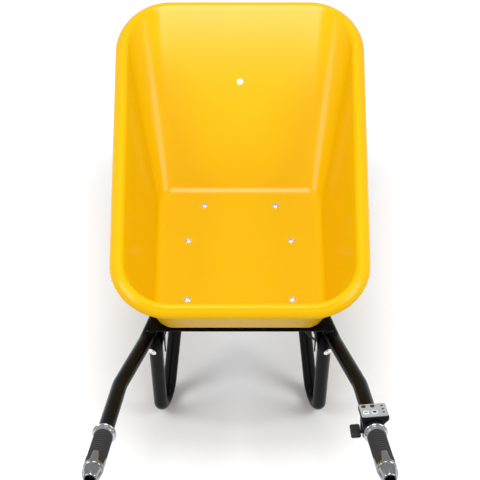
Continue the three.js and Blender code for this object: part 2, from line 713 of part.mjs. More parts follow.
function makeGusset(name, side) {
  const top = STRAP_BOTTOM_Z - GAP;
  const rear = REAR_STRAP_REAR_Y + 1;
  const shape = new THREE.Shape();
  shape.moveTo(rear, top);
  shape.lineTo(rear, top - GUSSET_HEIGHT);
  shape.lineTo(rear + GUSSET_TIP, top - GUSSET_HEIGHT);
  shape.lineTo(rear + GUSSET_WIDTH, top);
  const inner = LEG_AT[0] - TUBE_OD / 2 - GUSSET_CLEARANCE - GUSSET_THICKNESS;
  const low = side > 0 ? inner : -inner - GUSSET_THICKNESS;
  const plate = extruded(shape, low, low + GUSSET_THICKNESS);
  plate.applyMatrix4(new THREE.Matrix4().set(0, 0, 1, 0, 1, 0, 0, 0, 0, 1, 0, 0, 0, 0, 0, 1));
  add(`${name}_gusset`, plate, FRAME_PAINT);
}

function makeAxleBracket(name, side) {
  const top = RAIL_Z + TUBE_OD / 2 - 4;
  const shape = new THREE.Shape();
  shape.moveTo(BRACKET_HALF_LENGTH, top);
  shape.lineTo(-BRACKET_HALF_LENGTH, top);
  shape.lineTo(-BRACKET_HALF_LENGTH, RAIL_Z - TUBE_OD / 2);
  shape.lineTo(-BRACKET_EYE_R, AXLE_Z);
  shape.absarc(0, AXLE_Z, BRACKET_EYE_R, Math.PI, 2 * Math.PI);
  shape.lineTo(BRACKET_HALF_LENGTH, RAIL_Z - TUBE_OD / 2);
  shape.holes.push(new THREE.Path().absarc(0, AXLE_Z, AXLE_DIAMETER / 2 + GAP, 0, 2 * Math.PI));
  const middle = side * BRACKET_X;
  const plate = extruded(shape, middle - BRACKET_THICKNESS / 2, middle + BRACKET_THICKNESS / 2, 8);
  plate.applyMatrix4(new THREE.Matrix4().set(0, 0, 1, 0, 1, 0, 0, 0, 0, 1, 0, 0, 0, 0, 0, 1));
  add(`${name}_axle_bracket`, plate, FRAME_PAINT);
  const face = BRACKET_X + BRACKET_THICKNESS / 2 + GAP;
  const nutLow = side > 0 ? face : -face - AXLE_NUT_HEIGHT;
  const nut = cylinder(AXLE_NUT_R, nutLow, nutLow + AXLE_NUT_HEIGHT, 6);
  const bore = cylinder(AXLE_DIAMETER / 2 + GAP, nutLow - 1, nutLow + AXLE_NUT_HEIGHT + 1, 16);
  add(`${name}_axle_nut`, onAxle(cut(nut, bore)), ZINC);
}

// --------------------------------------------------------------------- wheel

function onAxle(geometry) {
  return alongX(geometry).translate(0, 0, AXLE_Z);
}

function makeTyre() {
  const outer = TYRE_OD / 2;
  const half = TYRE_HALF_WIDTH;
  const seat = TYRE_SEAT_R;
  const bead = TYRE_BEAD_HALF;
  const profile = [
    [seat, -bead], [TYRE_WIDEST_R, -half], [outer - 30, -half + 2], [outer - 9, -half + 15],
    [outer, -12], [outer, 12], [outer - 9, half - 15], [outer - 30, half - 2],
    [TYRE_WIDEST_R, half], [seat, bead], [seat, bead - TYRE_WALL], [TYRE_WIDEST_R, half - TYRE_WALL],
    [outer - 26, half - 18], [outer - 13, 0], [outer - 26, 18 - half],
    [TYRE_WIDEST_R, TYRE_WALL - half], [seat, TYRE_WALL - bead],
  ];
  add('tyre', onAxle(ring(profile, 32)), TYRE_RUBBER);
  const middle = (seat + outer) / 2 - INNER_TUBE_DROP;
  const section = polygon(outer - INNER_TUBE_ROOM - middle, 8).map((p) => [middle + p.x, p.y]);
  add('inner_tube', onAxle(ring(section, 24)), TYRE_RUBBER);
}

function makeRim() {
  const half = RIM_HALF_WIDTH;
  const seat = RIM_SEAT_R;
  const motor = MOTOR_HALF_WIDTH;
  const edge = RIM_FLANGE_X + RIM_FLANGE_WIDTH;
  const profile = [
    [RIM_FLANGE_R, -edge], [RIM_FLANGE_R, -RIM_FLANGE_X], [seat, -half], [seat, -18],
    [RIM_WELL_R, -14], [RIM_WELL_R, 14], [seat, 18], [seat, half],
    [RIM_FLANGE_R, RIM_FLANGE_X], [RIM_FLANGE_R, edge], [seat - 2, half + 4],
    [seat - 5, motor], [MOTOR_BORE_R, motor], [MOTOR_BORE_R, -motor], [seat - 5, -motor],
    [seat - 2, -half - 4],
  ];
  add('wheel_rim', onAxle(ring(profile, 26)), FRAME_PAINT);
}

function makeMotor(name, side) {
  const face = MOTOR_HALF_WIDTH + GAP;
  const bearing = BEARING_OD / 2 + GAP;
  const boss = bearing + 5;
  const out = face + COVER_THICKNESS;
  const profile = [
    [boss, out], [boss, out + 7], [bearing, out + 7], [bearing, face - 4], [boss, face - 4],
    [boss + 3, face], [RIM_SEAT_R - 12, face], [RIM_SEAT_R - 12, out - 1], [RIM_SEAT_R - 16, out],
  ].map(([r, x]) => [r, side * x]);
  add(`${name}_motor_cover`, onAxle(ring(profile, 24)), ALUMINIUM);
  const inner = AXLE_DIAMETER / 2 + GAP;
  const low = side > 0 ? out - 3 : -out + 3 - BEARING_WIDTH;
  add(`${name}_bearing`, onAxle(tubeRing(inner, BEARING_OD / 2, low, low + BEARING_WIDTH, 16)), STEEL);
}

function makeAxle() {
  const end = BRACKET_X + BRACKET_THICKNESS / 2 + AXLE_END;
  add('axle', onAxle(cylinder(AXLE_DIAMETER / 2, -end, end, 16)), STEEL);
  const bore = AXLE_DIAMETER / 2 + GAP;
  add('motor_stator', onAxle(tubeRing(bore, STATOR_R, -STATOR_HALF_WIDTH, STATOR_HALF_WIDTH, 24)), COPPER);
}

// --------------------------------------------------------------- battery box

function makeBatteryBox() {
  const w = BOX_HALF_WIDTH;
  const lidZ = BOX_TOP_Z - BOX_LID;
  const outer = roundedRectangle(-w, BOX_REAR_Y, w, BOX_FRONT_Y, BOX_CORNER);
  const inner = roundedRectangle(-w + BOX_WALL, BOX_REAR_Y + BOX_WALL, w - BOX_WALL,
    BOX_FRONT_Y - BOX_WALL, BOX_CORNER - BOX_WALL);
  const cavity = extruded(inner, BOX_FLOOR_Z + BOX_WALL, BOX_TOP_Z);
  add('battery_box', cut(extruded(outer, BOX_FLOOR_Z, lidZ - GAP), cavity), BLACK_PLASTIC);
  add('battery_box_lid', extruded(outer, lidZ, BOX_TOP_Z), BLACK_PLASTIC);
  const packFloor = BOX_FLOOR_Z + BOX_WALL + GAP;
  const packWidth = 2 * (w - BOX_WALL - BOX_FIT);
  const packFront = BOX_FRONT_Y - CONTROLLER_BAY;
  const packRear = BOX_REAR_Y + BOX_WALL + BOX_FIT;
  const pack = box(packWidth, packFront - packRear, BATTERY_HEIGHT, 0, (packFront + packRear) / 2,
    packFloor + BATTERY_HEIGHT / 2);
  add('battery_pack', pack, CELL_WRAP);
  const controller = box(...CONTROLLER_SIZE, 0, BOX_FRONT_Y - CONTROLLER_BAY / 2,
    packFloor + CONTROLLER_SIZE[2] / 2);
  add('motor_controller', controller, ALUMINIUM);
  const port = turned([
    [0, 0], [PORT_R, 0], [PORT_R, 4], [PORT_R - 3, PORT_LENGTH - 1], [0, PORT_LENGTH],
  ], 14);
  port.rotateY(-Math.PI / 2).translate(-w - GAP, BOX_MID_Y, BOX_FLOOR_Z + PORT_RISE);
  add('charge_port_cap', port, GRIP_RUBBER);
}

const CONTROL_GLAND = new THREE.Vector3(70, BOX_REAR_Y - GAP, 292);
const MOTOR_GLAND = new THREE.Vector3(-52, BOX_FRONT_Y + GAP, 262);
function makeGland(name, at, direction, cable) {
  const body = turned([
    [0, 0], [GLAND_R, 0], [GLAND_R, 5], [GLAND_R - 1.5, 6], [GLAND_R - 2, GLAND_LENGTH - 2],
    [cable, GLAND_LENGTH], [0, GLAND_LENGTH],
  ], 10);
  body.rotateX(direction > 0 ? -Math.PI / 2 : Math.PI / 2).translate(at.x, at.y, at.z);
  add(name, body, BLACK_PLASTIC);
}

// -------------------------------------------------------------------- cables

// The lead from the throttle: under the right handle tube, down past the leg's
// shoulder, across in front of the rear limb and forward to the battery box.
const CONTROL_ROUTE = [
  [262.6, -893, 446.6], [260.6, -869, 435.2], [258.5, -844, 423.3], [256.6, -820, 412],
  [254.2, -797, 401.2], [250.4, -770, 388.8], [244.5, -742, 375.4], [237.5, -713, 361.7],
  [230.5, -684, 348], [223.4, -654, 333.6], [218, -628, 320], [214.8, -604, 308],
  [214.6, -584, 298], [211.6, -567, 284], [203, -556, 270], [190, -552, 261],
  [176, -550, 258.5], [161, -540, 266], [144, -529, 278], [124, -521, 288],
  [102, -517, 292], [84, -514.5, 292.6], [73.5, -508, 292.2],
  [70.2, -501, 292], [70, -494, 292],
];

// The three-core lead from the left end of the axle to the motor controller.
const MOTOR_ROUTE = [
  [-88.4, 0, 195], [-93, 0, 195], [-98, -0.5, 195.2], [-103, -7, 198], [-105, -22, 206], [-104, -46, 222],
  [-102, -72, 243], [-98, -100, 262], [-92, -130, 276], [-84, -160, 284], [-75, -190, 285],
  [-66, -218, 280], [-59, -244, 271], [-54, -264, 264], [-52.2, -278, 262.1], [-52, -286, 262],
];

function cable(route, diameter, sides, steps) {
  const curve = new THREE.CatmullRomCurve3(route.map((p) => new THREE.Vector3(...p)), false, 'centripetal');
  return sweep(curve.getSpacedPoints(steps), diameter / 2, sides);
}

function makeCables() {
  add('control_cable', cable(CONTROL_ROUTE, CONTROL_CABLE, 8, 48), CABLE_JACKET);
  add('motor_cable', cable(MOTOR_ROUTE, MOTOR_CABLE, 8, 26), CABLE_JACKET);
  makeGland('control_cable_gland', CONTROL_GLAND, -1, CONTROL_CABLE / 2 + 1);
  makeGland('motor_cable_gland', MOTOR_GLAND, 1, MOTOR_CABLE / 2 + 1);
}

// ---------------------------------------------------------------- handlebars

// A group on the handle: its X is to the right, its Y forward along the tube,
// its Z square to both, and its origin the given distance behind the bend.
function handleGroup(side, along) {
  const back = onSide(gripEnd, side).sub(onSide(handleBend, side)).normalize();
  const forward = back.clone().negate();
  const up = new THREE.Vector3(0, 0, 1).addScaledVector(forward, -forward.z).normalize();
  const right = forward.clone().cross(up);
  const place = onSide(handleBend, side).addScaledVector(back, along);
  const holder = new THREE.Group();
  holder.matrixAutoUpdate = false;
  holder.matrix.makeBasis(right, forward, up).setPosition(place);
  group.add(holder);
  return holder;
}

// Lays a piece drawn on Z along the handle, its low end forward.
function alongHandle(geometry) {
  return geometry.rotateX(Math.PI / 2);
}

function makeGrip(name, side) {
  const holder = handleGroup(side, 0);
  const bore = TUBE_OD / 2 + GAP;
  const start = COLLAR_AT;
  const rubberStart = start + COLLAR_LENGTH + GAP;
  const rubberEnd = GRIP_END_AT;
  const total = gripEnd.distanceTo(handleBend);
  const collar = ring([
    [bore, start], [COLLAR_R - 2, start], [COLLAR_R, start + 1.5], [COLLAR_R, start + 4],
    [COLLAR_R - 3, start + 5.5], [COLLAR_R - 2, start + 8], [GRIP_R + 1, start + COLLAR_LENGTH],
    [bore, start + COLLAR_LENGTH],
  ], 18);
  add(`${name}_grip_collar`, alongHandle(collar), CHROME, holder);
  const rubber = ring([
    [bore, rubberStart], [GRIP_R - 0.5, rubberStart], [GRIP_R, rubberStart + 3], [GRIP_R, rubberEnd - 2],
    [GRIP_R - 0.5, rubberEnd], [bore, rubberEnd],
  ], 20);
  add(`${name}_grip_rubber`, alongHandle(rubber), GRIP_RUBBER, holder);
  const from = rubberEnd + GAP;
  const end = turned([
    [0, from], [GRIP_R - 0.4, from], [GRIP_R - 0.8, from + 16], [GRIP_R - 2.5, from + 27],
    [GRIP_R - 5.5, total - 2], [GRIP_R - 7.5, total], [GRIP_R - 9, total], [GRIP_R - 9.5, total - 7],
    [0, total - 8],
  ], 18);
  add(`${name}_grip_end`, alongHandle(end), CHROME, holder);
}

const BUTTON_ROW_FRONT = CONTROL_LENGTH / 2 - FRONT_ROW_MARGIN;
const BUTTON_ROW_REAR = REAR_ROW_MARGIN - CONTROL_LENGTH / 2;

// Name, across, along, radius.
const BUTTONS = [
  ['speed_up_button', -15.5, BUTTON_ROW_FRONT, SMALL_BUTTON_R],
  ['speed_down_button', 2, BUTTON_ROW_FRONT, SMALL_BUTTON_R],
  ['power_button', -14.2, BUTTON_ROW_REAR, ROUND_BUTTON_R],
  ['direction_button', 3, BUTTON_ROW_REAR, ROUND_BUTTON_R],
];

function makeControl() {
  const holder = handleGroup(1, CONTROL_AT + CONTROL_LENGTH / 2);
  const half = CONTROL_LENGTH / 2;
  const bore = TUBE_OD / 2 + GAP;
  const saddle = alongHandle(cylinder(bore, -CONTROL_LENGTH, CONTROL_LENGTH, 20));
  const shell = extruded(roundedRectangle(-CONTROL_INBOARD, -half, CONTROL_OUTBOARD, half, 5),
    CONTROL_BOTTOM, CONTROL_TOP);
  const wall = CONTROL_WALL;
  const inside = roundedRectangle(wall - CONTROL_INBOARD, wall - half,
    CONTROL_OUTBOARD - wall, half - wall, 2);
  const cavity = extruded(inside, TUBE_OD / 2 + wall, CONTROL_TOP + 1, 2);
  add('control_housing', cut(shell, saddle, cavity), BLACK_PLASTIC, holder);

  const clampRing = alongHandle(tubeRing(bore, bore + 4.5, -half, half, 20));
  const upper = box(90, 90, 30, 0, 0, CONTROL_BOTTOM - GAP + 15);
  add('control_clamp', cut(clampRing, upper), BLACK_PLASTIC, holder);

  const faceZ = CONTROL_TOP + GAP;
  const face = roundedRectangle(1 - CONTROL_INBOARD, 1 - half, CONTROL_OUTBOARD - 1, half - 1, 3);
  for (const [, x, y, radius] of BUTTONS) {
    face.holes.push(new THREE.Path().absarc(x, y, radius + 2 * GAP, 0, 2 * Math.PI));
  }
  add('control_face', extruded(face, faceZ, faceZ + FACE_THICKNESS, 6), GREY_PLASTIC, holder);
  for (const [name, x, y, radius] of BUTTONS) {
    const top = faceZ + FACE_THICKNESS + BUTTON_RISE;
    const low = faceZ - BUTTON_DEPTH;
    const button = turned([
      [0, low], [radius + BUTTON_FLANGE, low], [radius + BUTTON_FLANGE, faceZ - GAP], [radius, faceZ - GAP],
      [radius, top - 0.6], [radius - 0.8, top], [0, top],
    ], 14);
    add(name, button.translate(x, y, 0), BLACK_PLASTIC, holder);
  }
}

function makeThumbLever() {
  const holder = handleGroup(1, CONTROL_AT + CONTROL_LENGTH + THROTTLE_CLEARANCE + THROTTLE_LENGTH / 2);
  const half = THROTTLE_LENGTH / 2 - GAP;
  const hub = alongHandle(tubeRing(TUBE_OD / 2 + 2 * GAP, THROTTLE_R, -half, half, 20));
  const stem = cylinder(PADDLE_STEM / 2, THROTTLE_R - 2.5, PADDLE_REACH, 10).rotateY(-Math.PI / 2);
  const [width, length, thickness] = PADDLE_SIZE;
  const plate = roundedRectangle(-width / 2, -length / 2, width / 2, length / 2, 3);
  const paddle = extruded(plate, -thickness / 2, thickness / 2, 2);
  paddle.rotateX(THREE.MathUtils.degToRad(PADDLE_TILT)).translate(-PADDLE_REACH, 0, PADDLE_RISE);
  add('thumb_lever', join(hub, stem, paddle), BLACK_PLASTIC, holder);
}

// ------------------------------------------------------------------ assembly

makeTray();
makeTrayBolts();
makeStraps();
makeNoseHoop();
for (const [name, side] of [['left', -1], ['right', 1]]) {
  makeHandleTube(name, side);
  makeLeg(name, side);
  makeGusset(name, side);
  makeAxleBracket(name, side);
  makeMotor(name, side);
  makeGrip(name, side);
}
makeTyre();
makeRim();
makeAxle();
makeBatteryBox();
makeCables();
makeControl();
makeThumbLever();

group.updateMatrixWorld(true);
const bounds = new THREE.Box3().setFromObject(group, true);
group.position.set(-(bounds.min.x + bounds.max.x) / 2, -(bounds.min.y + bounds.max.y) / 2, -bounds.min.z);

export default group;
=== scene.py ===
"""Power-assisted wheelbarrow: an enamelled steel tray on a powder-coated tube frame, with a hub-motor
wheel, a battery box, and a switch box with a thumb throttle on the right handle.

Lengths inside this script are millimetres, from the wheel's axle along Y and from the floor up, as the
barrow is drawn; a piece is brought to metres and to the frame's own place when its mesh is made.
"""

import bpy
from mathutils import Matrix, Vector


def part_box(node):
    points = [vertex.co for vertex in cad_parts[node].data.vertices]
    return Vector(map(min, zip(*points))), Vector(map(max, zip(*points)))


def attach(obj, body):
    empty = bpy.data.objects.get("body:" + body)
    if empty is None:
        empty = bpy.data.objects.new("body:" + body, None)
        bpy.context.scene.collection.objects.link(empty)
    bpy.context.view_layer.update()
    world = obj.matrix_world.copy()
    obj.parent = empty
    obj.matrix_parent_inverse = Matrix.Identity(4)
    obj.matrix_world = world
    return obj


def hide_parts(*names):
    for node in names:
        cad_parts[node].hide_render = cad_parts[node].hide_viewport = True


bl_info = {
    "name": "Power-assisted Wheelbarrow",
    "version": (1, 0, 0),
    "blender": (4, 5, 0),
    "location": "3D View > Sidebar > Wheelbarrow",
    "description": "Builds the visible surfaces of a power-assisted wheelbarrow around its fixed frame",
    "category": "Object",
}

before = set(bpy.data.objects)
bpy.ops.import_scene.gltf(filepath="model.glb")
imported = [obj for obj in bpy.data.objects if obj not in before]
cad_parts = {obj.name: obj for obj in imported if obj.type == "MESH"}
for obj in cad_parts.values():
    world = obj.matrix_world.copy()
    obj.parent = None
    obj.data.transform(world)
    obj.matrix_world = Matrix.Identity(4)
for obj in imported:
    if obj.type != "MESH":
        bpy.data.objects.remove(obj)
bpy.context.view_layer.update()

import math

import bmesh
import bpy
from bpy.props import FloatProperty, FloatVectorProperty, IntProperty, PointerProperty
from mathutils import Matrix, Vector

# ------------------------------------------------------------------ the frame's places

MM = 0.001
AXLE = (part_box("axle")[0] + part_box("axle")[1]) / 2
TO_FRAME = Matrix.Translation((0, AXLE.y, 0)) @ Matrix.Scale(MM, 4)
GAP = 0.3
SIDES = (("left", -1), ("right", 1))


def corners(node):
    """A node's lowest and highest corners, in millimetres from the axle."""
    low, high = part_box(node)
    return TO_FRAME.inverted() @ low, TO_FRAME.inverted() @ high


def middle(node):
    low, high = corners(node)
    return (low + high) / 2


def linear(code):
    """The linear colour of an sRGB hex value."""
    values = [int(code[i : i + 2], 16) / 255 for i in (1, 3, 5)]
    return tuple(v / 12.92 if v <= 0.04045 else ((v + 0.055) / 1.055) ** 2.4 for v in values)


# ------------------------------------------------------------------ sizes and colours


def size(label, what, value, low=0.0):
    return FloatProperty(name=label, description=what, default=value, min=low, unit="LENGTH", precision=4)


def number(label, what, value, low=1):
    return IntProperty(name=label, description=what, default=value, min=low)


def colour(label, what, code):
    return FloatVectorProperty(name=label, description=what, default=linear(code), subtype="COLOR", size=3)


class WHEELBARROW_PG_body(bpy.types.PropertyGroup):
    """Sizes of the tray, the tubes and their fastenings."""

    sheet: size("Sheet", "Thickness of the tray's steel", 0.0015)
    fillet: size("Floor fillet", "Setback of the curve between floor and walls", 0.020)
    lip_width: size("Lip", "Width of the tray's turned-out lip", 0.027)
    curl: size("Curl", "Radius of the wired edge under the lip", 0.0038)
    tube: size("Tube", "Outside diameter of the handle and leg tubes", 0.032)
    hoop: size("Hoop", "Outside diameter of the nose hoop's tube", 0.025)
    bead: size("Weld", "Width of a weld bead", 0.0046)
    head: size("Bolt head", "Diameter of a tray bolt's washer", 0.017)


class WHEELBARROW_PG_wheel(bpy.types.PropertyGroup):
    """Sizes and counts of the wheel."""

    lugs: number("Lugs", "Tread lugs round one half of the tyre", 34, 8)
    lug_height: size("Lug height", "How far a lug stands above the carcass", 0.0055)
    ribs: number("Cover ribs", "Cooling ribs round a motor cover", 24, 3)
    screws: number("Cover screws", "Screws round a motor cover", 8, 3)


class WHEELBARROW_PG_handlebar(bpy.types.PropertyGroup):
    """Sizes and counts of the grips and the switch box."""

    grip_ribs: number("Grip ribs", "Rings moulded round a grip", 13, 4)
    rib_height: size("Rib height", "How far a grip's ring stands out", 0.0024)
    claws: number("Claws", "Points of a grip end that reach over the rubber", 4, 2)
    claw_length: size("Claw length", "Length of a grip end's point", 0.027)


class WHEELBARROW_PG_colours(bpy.types.PropertyGroup):
    """Colours of the finishes."""

    tray: colour("Tray enamel", "Colour of the tray", "#D8A800")
    tubes: colour("Frame powder", "Colour of the tubes and straps", "#0A0A0B")
    rubber: colour("Grip rubber", "Colour of the grips", "#2B2B2C")
    face: colour("Switch panel", "Colour of the switch box's face", "#939496")
    gauge: colour("Gauge strip", "Colour of the battery gauge's strip", "#929394")
    plastic: colour("Plastic", "Colour of the moulded cases", "#0E0E10")
    tyre: colour("Tyre", "Colour of the tyre", "#1A1A1B")


# ------------------------------------------------------------------ shapes: points and faces


def combined(*shapes):
    points, faces = [], []
    for more_points, more_faces in shapes:
        start = len(points)
        points += more_points
        faces += [tuple(start + i for i in face) for face in more_faces]
    return points, faces


def moved(shape, matrix):
    return [matrix @ Vector(p) for p in shape[0]], shape[1]


def skin(rings, loop=False, caps=True):
    """Faces between rings of points; loop joins the last ring to the first."""
    width = len(rings[0])
    points = [Vector(p) for ring in rings for p in ring]
    faces = []
    for row in range(len(rings) if loop else len(rings) - 1):
        low, high = row * width, (row + 1) % len(rings) * width
        for k in range(width):
            n = (k + 1) % width
            faces.append((low + k, low + n, high + n, high + k))
    if caps and not loop:
        faces.append(tuple(reversed(range(width))))
        faces.append(tuple((len(rings) - 1) * width + k for k in range(width)))
    return points, faces


def turned(profile, steps=64):
    """A piece turned on Z from (radius, height) pairs; a section clear of the axis closes on itself."""
    turns = [2 * math.pi * k / steps for k in range(steps)]
    rings = [[(r * math.cos(a), r * math.sin(a), h) for a in turns] for r, h in profile]
    return skin(rings, loop=profile[0][0] > 0, caps=False)


def circle(radius, steps=24, squash=1.0):
    turns = [2 * math.pi * k / steps for k in range(steps)]
    return [(radius * math.cos(a), radius * squash * math.sin(a)) for a in turns]


def rounded(x0, y0, x1, y1, radius, steps=8):
    """A rectangle's outline with round corners, anticlockwise."""
    centres = ((x1 - radius, y0 + radius, -90), (x1 - radius, y1 - radius, 0))
    centres += ((x0 + radius, y1 - radius, 90), (x0 + radius, y0 + radius, 180))
    outline = []
    for x, y, start in centres:
        for k in range(steps + 1):
            angle = math.radians(start + 90 * k / steps)
            outline.append((x + radius * math.cos(angle), y + radius * math.sin(angle)))
    return outline


def block(x0, y0, x1, y1, radius, levels, steps=8):
    """A rounded box from (height, inset) levels, bottom first."""
    rings = []
    for z, inset in levels:
        edge = rounded(x0 + inset, y0 + inset, x1 - inset, y1 - inset, max(radius - inset, 0.4), steps)
        rings.append([(x, y, z) for x, y in edge])
    return skin(rings)


def soft_block(x0, y0, x1, y1, low, high, radius, soft):
    """The same with its upper and lower edges rounded off by soft."""
    turns = [math.radians(v) for v in (0, 22, 45, 67, 90)]
    bottom = [(low + soft * (1 - math.sin(a)), soft * (1 - math.cos(a))) for a in reversed(turns)]
    top = [(high - soft * (1 - math.sin(a)), soft * (1 - math.cos(a))) for a in turns]
    return block(x0, y0, x1, y1, radius, bottom + top)


def slab(outline, low, high):
    """A plate of any outline between two heights."""
    return skin([[(x, y, z) for x, y in outline] for z in (low, high)])


def bent(points, radii, steps=12):
    """A path of straight runs whose corners are rounded to the given radii."""
    points = [Vector(p) for p in points]
    path = [points[0]]
    for before, at, after, radius in zip(points, points[1:], points[2:], radii):
        back, onward = (before - at).normalized(), (after - at).normalized()
        half = back.angle(onward) / 2
        centre = at + (back + onward).normalized() * (radius / math.sin(half))
        reach = radius / math.tan(half)
        start, end = at + back * reach - centre, at + onward * reach - centre
        turn = start.angle(end)
        axis = start.cross(end).normalized()
        path += [centre + Matrix.Rotation(turn * k / steps, 3, axis) @ start for k in range(steps + 1)]
    return path + [points[-1]]


def eased(route, spacing=4.0):
    """A smooth curve through given points, as stations at an even spacing."""
    route = [Vector(p) for p in route]
    route = [2 * route[0] - route[1], *route, 2 * route[-1] - route[-2]]
    stations = []
    for a, b, c, d in zip(route, route[1:], route[2:], route[3:]):
        count = max(1, round((c - b).length / spacing))
        for k in range(count):
            t = k / count
            stations.append(((2 * b) + (c - a) * t + (2 * a - 5 * b + 4 * c - d) * t**2
                             + (3 * b - a - 3 * c + d) * t**3) / 2)
    return stations + [route[-2]]


def sweep(path, section):
    """Carries a flat section along a path without twist."""
    path = [Vector(p) for p in path]
    last = len(path) - 1
    side = None
    rings = []
    for i, at in enumerate(path):
        before = path[i - 1] if i else at
        after = path[i + 1] if i < last else at
        along = (after - before).normalized()
        if side is None:
            side = Vector((0, 0, 1)) if abs(along.z) < 0.9 else Vector((1, 0, 0))
        side = (side - along * side.dot(along)).normalized()
        across = along.cross(side)
        rings.append([at + side * x + across * y for x, y in section])
    return skin(rings)


# ------------------------------------------------------------------ pieces


def new_object(name, shape):
    mesh = bpy.data.meshes.new(name)
    edges = [f for f in shape[1] if len(f) == 2]
    mesh.from_pydata([tuple(p) for p in shape[0]], edges, [] if edges else shape[1])
    made = bpy.data.objects.new(name, mesh)
    bpy.context.scene.collection.objects.link(made)
    return made


def cleaned(mesh, crease, outward):
    """Joins doubled points, turns every face outward and shades smooth up to a crease."""
    work = bmesh.new()
    work.from_mesh(mesh)
    bmesh.ops.remove_doubles(work, verts=work.verts, dist=1e-6)
    if outward:
        bmesh.ops.recalc_face_normals(work, faces=work.faces)
    work.to_mesh(mesh)
    work.free()
    mesh.shade_smooth()
    mesh.set_sharp_from_angle(angle=math.radians(crease))


def finished(made, finish, slot, body="frame", stands_for=(), at=None, crease=38, edge=0.0, outward=True):
    """Puts a drawn object in its place and hands it to the frame."""
    made.data.transform(TO_FRAME @ (at or Matrix()))
    cleaned(made.data, crease, outward)
    made.data.materials.clear()
    made.data.materials.append(finish)
    if edge:
        bevel = made.modifiers.new("edge", "BEVEL")
        bevel.width = edge * MM
        bevel.segments = 2
        bevel.limit_method = "ANGLE"
        bevel.angle_limit = math.radians(crease)
        bevel.harden_normals = True
    if stands_for:
        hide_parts(*stands_for)
    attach(made, body)
    return made


def piece(name, shape, finish, slot, **where):
    return finished(new_object(name, shape), finish, slot, **where)


def add_node(tree, kind, inputs=None, **settings):
    """A node with its settings, and its inputs set to values or linked from outputs."""
    made = tree.nodes.new(kind)
    for key, value in settings.items():
        setattr(made, key, value)
    for key, value in (inputs or {}).items():
        if isinstance(value, bpy.types.NodeSocket):
            tree.links.new(value, made.inputs[key])
        else:
            made.inputs[key].default_value = value
    return made


def new_tree(name, sockets):
    """A geometry tree with named inputs, and its input node."""
    tree = bpy.data.node_groups.new(name, "GeometryNodeTree")
    tree.interface.new_socket("Geometry", in_out="INPUT", socket_type="NodeSocketGeometry")
    for label, kind in [*sockets, ("Material", "NodeSocketMaterial")]:
        tree.interface.new_socket(label, in_out="INPUT", socket_type=kind)
    tree.interface.new_socket("Geometry", in_out="OUTPUT", socket_type="NodeSocketGeometry")
    return tree, add_node(tree, "NodeGroupInput").outputs


def close_tree(tree, given, instances):
    real = add_node(tree, "GeometryNodeRealizeInstances", {"Geometry": instances})
    painted = add_node(tree, "GeometryNodeSetMaterial",
                       {"Geometry": real.outputs["Geometry"], "Material": given["Material"]})
    add_node(tree, "NodeGroupOutput", {"Geometry": painted.outputs["Geometry"]})
    return tree


def ring_tree():
    """Repeats the given geometry round Z, and in rows along Z."""
    tree, given = new_tree("repeat_round", [("Count", "NodeSocketInt"), ("Rows", "NodeSocketInt"),
                                            ("Row Spacing", "NodeSocketFloat")])
    total = add_node(tree, "ShaderNodeMath", {0: given["Count"], 1: given["Rows"]}, operation="MULTIPLY")
    points = add_node(tree, "GeometryNodePoints", {"Count": total.outputs[0]})
    index = add_node(tree, "GeometryNodeInputIndex").outputs[0]
    share = add_node(tree, "ShaderNodeMath", {0: index, 1: given["Count"]}, operation="DIVIDE")
    row = add_node(tree, "ShaderNodeMath", {0: share.outputs[0]}, operation="FLOOR").outputs[0]
    part = add_node(tree, "ShaderNodeMath", {0: share.outputs[0], 1: row}, operation="SUBTRACT").outputs[0]
    angle = add_node(tree, "ShaderNodeMath", {0: part, 1: 2 * math.pi}, operation="MULTIPLY")
    height = add_node(tree, "ShaderNodeMath", {0: row, 1: given["Row Spacing"]}, operation="MULTIPLY")
    at = add_node(tree, "ShaderNodeCombineXYZ", {"Z": height.outputs[0]})
    euler = add_node(tree, "ShaderNodeCombineXYZ", {"Z": angle.outputs[0]})
    placed = add_node(tree, "GeometryNodeSetPosition",
                      {"Geometry": points.outputs[0], "Position": at.outputs[0]})
    rotation = add_node(tree, "FunctionNodeEulerToRotation", {0: euler.outputs[0]})
    copies = add_node(tree, "GeometryNodeInstanceOnPoints",
                      {"Points": placed.outputs[0], "Instance": given["Geometry"],
                       "Rotation": rotation.outputs[0]})
    return close_tree(tree, given, copies.outputs[0])


def places_tree():
    """Puts a given piece at each point of the geometry."""
    tree, given = new_tree("repeat_at_places", [("Piece", "NodeSocketObject")])
    part = add_node(tree, "GeometryNodeObjectInfo", {"Object": given["Piece"]})
    copies = add_node(tree, "GeometryNodeInstanceOnPoints",
                      {"Points": given["Geometry"], "Instance": part.outputs["Geometry"]})
    return close_tree(tree, given, copies.outputs[0])


BEAD_PITCH = 0.45  # from one scale to the next, as a share of the bead's width
BEAD_SMALL, BEAD_LARGE = (0.6, 0.85, 0.85), (0.8, 1.12, 1.12)


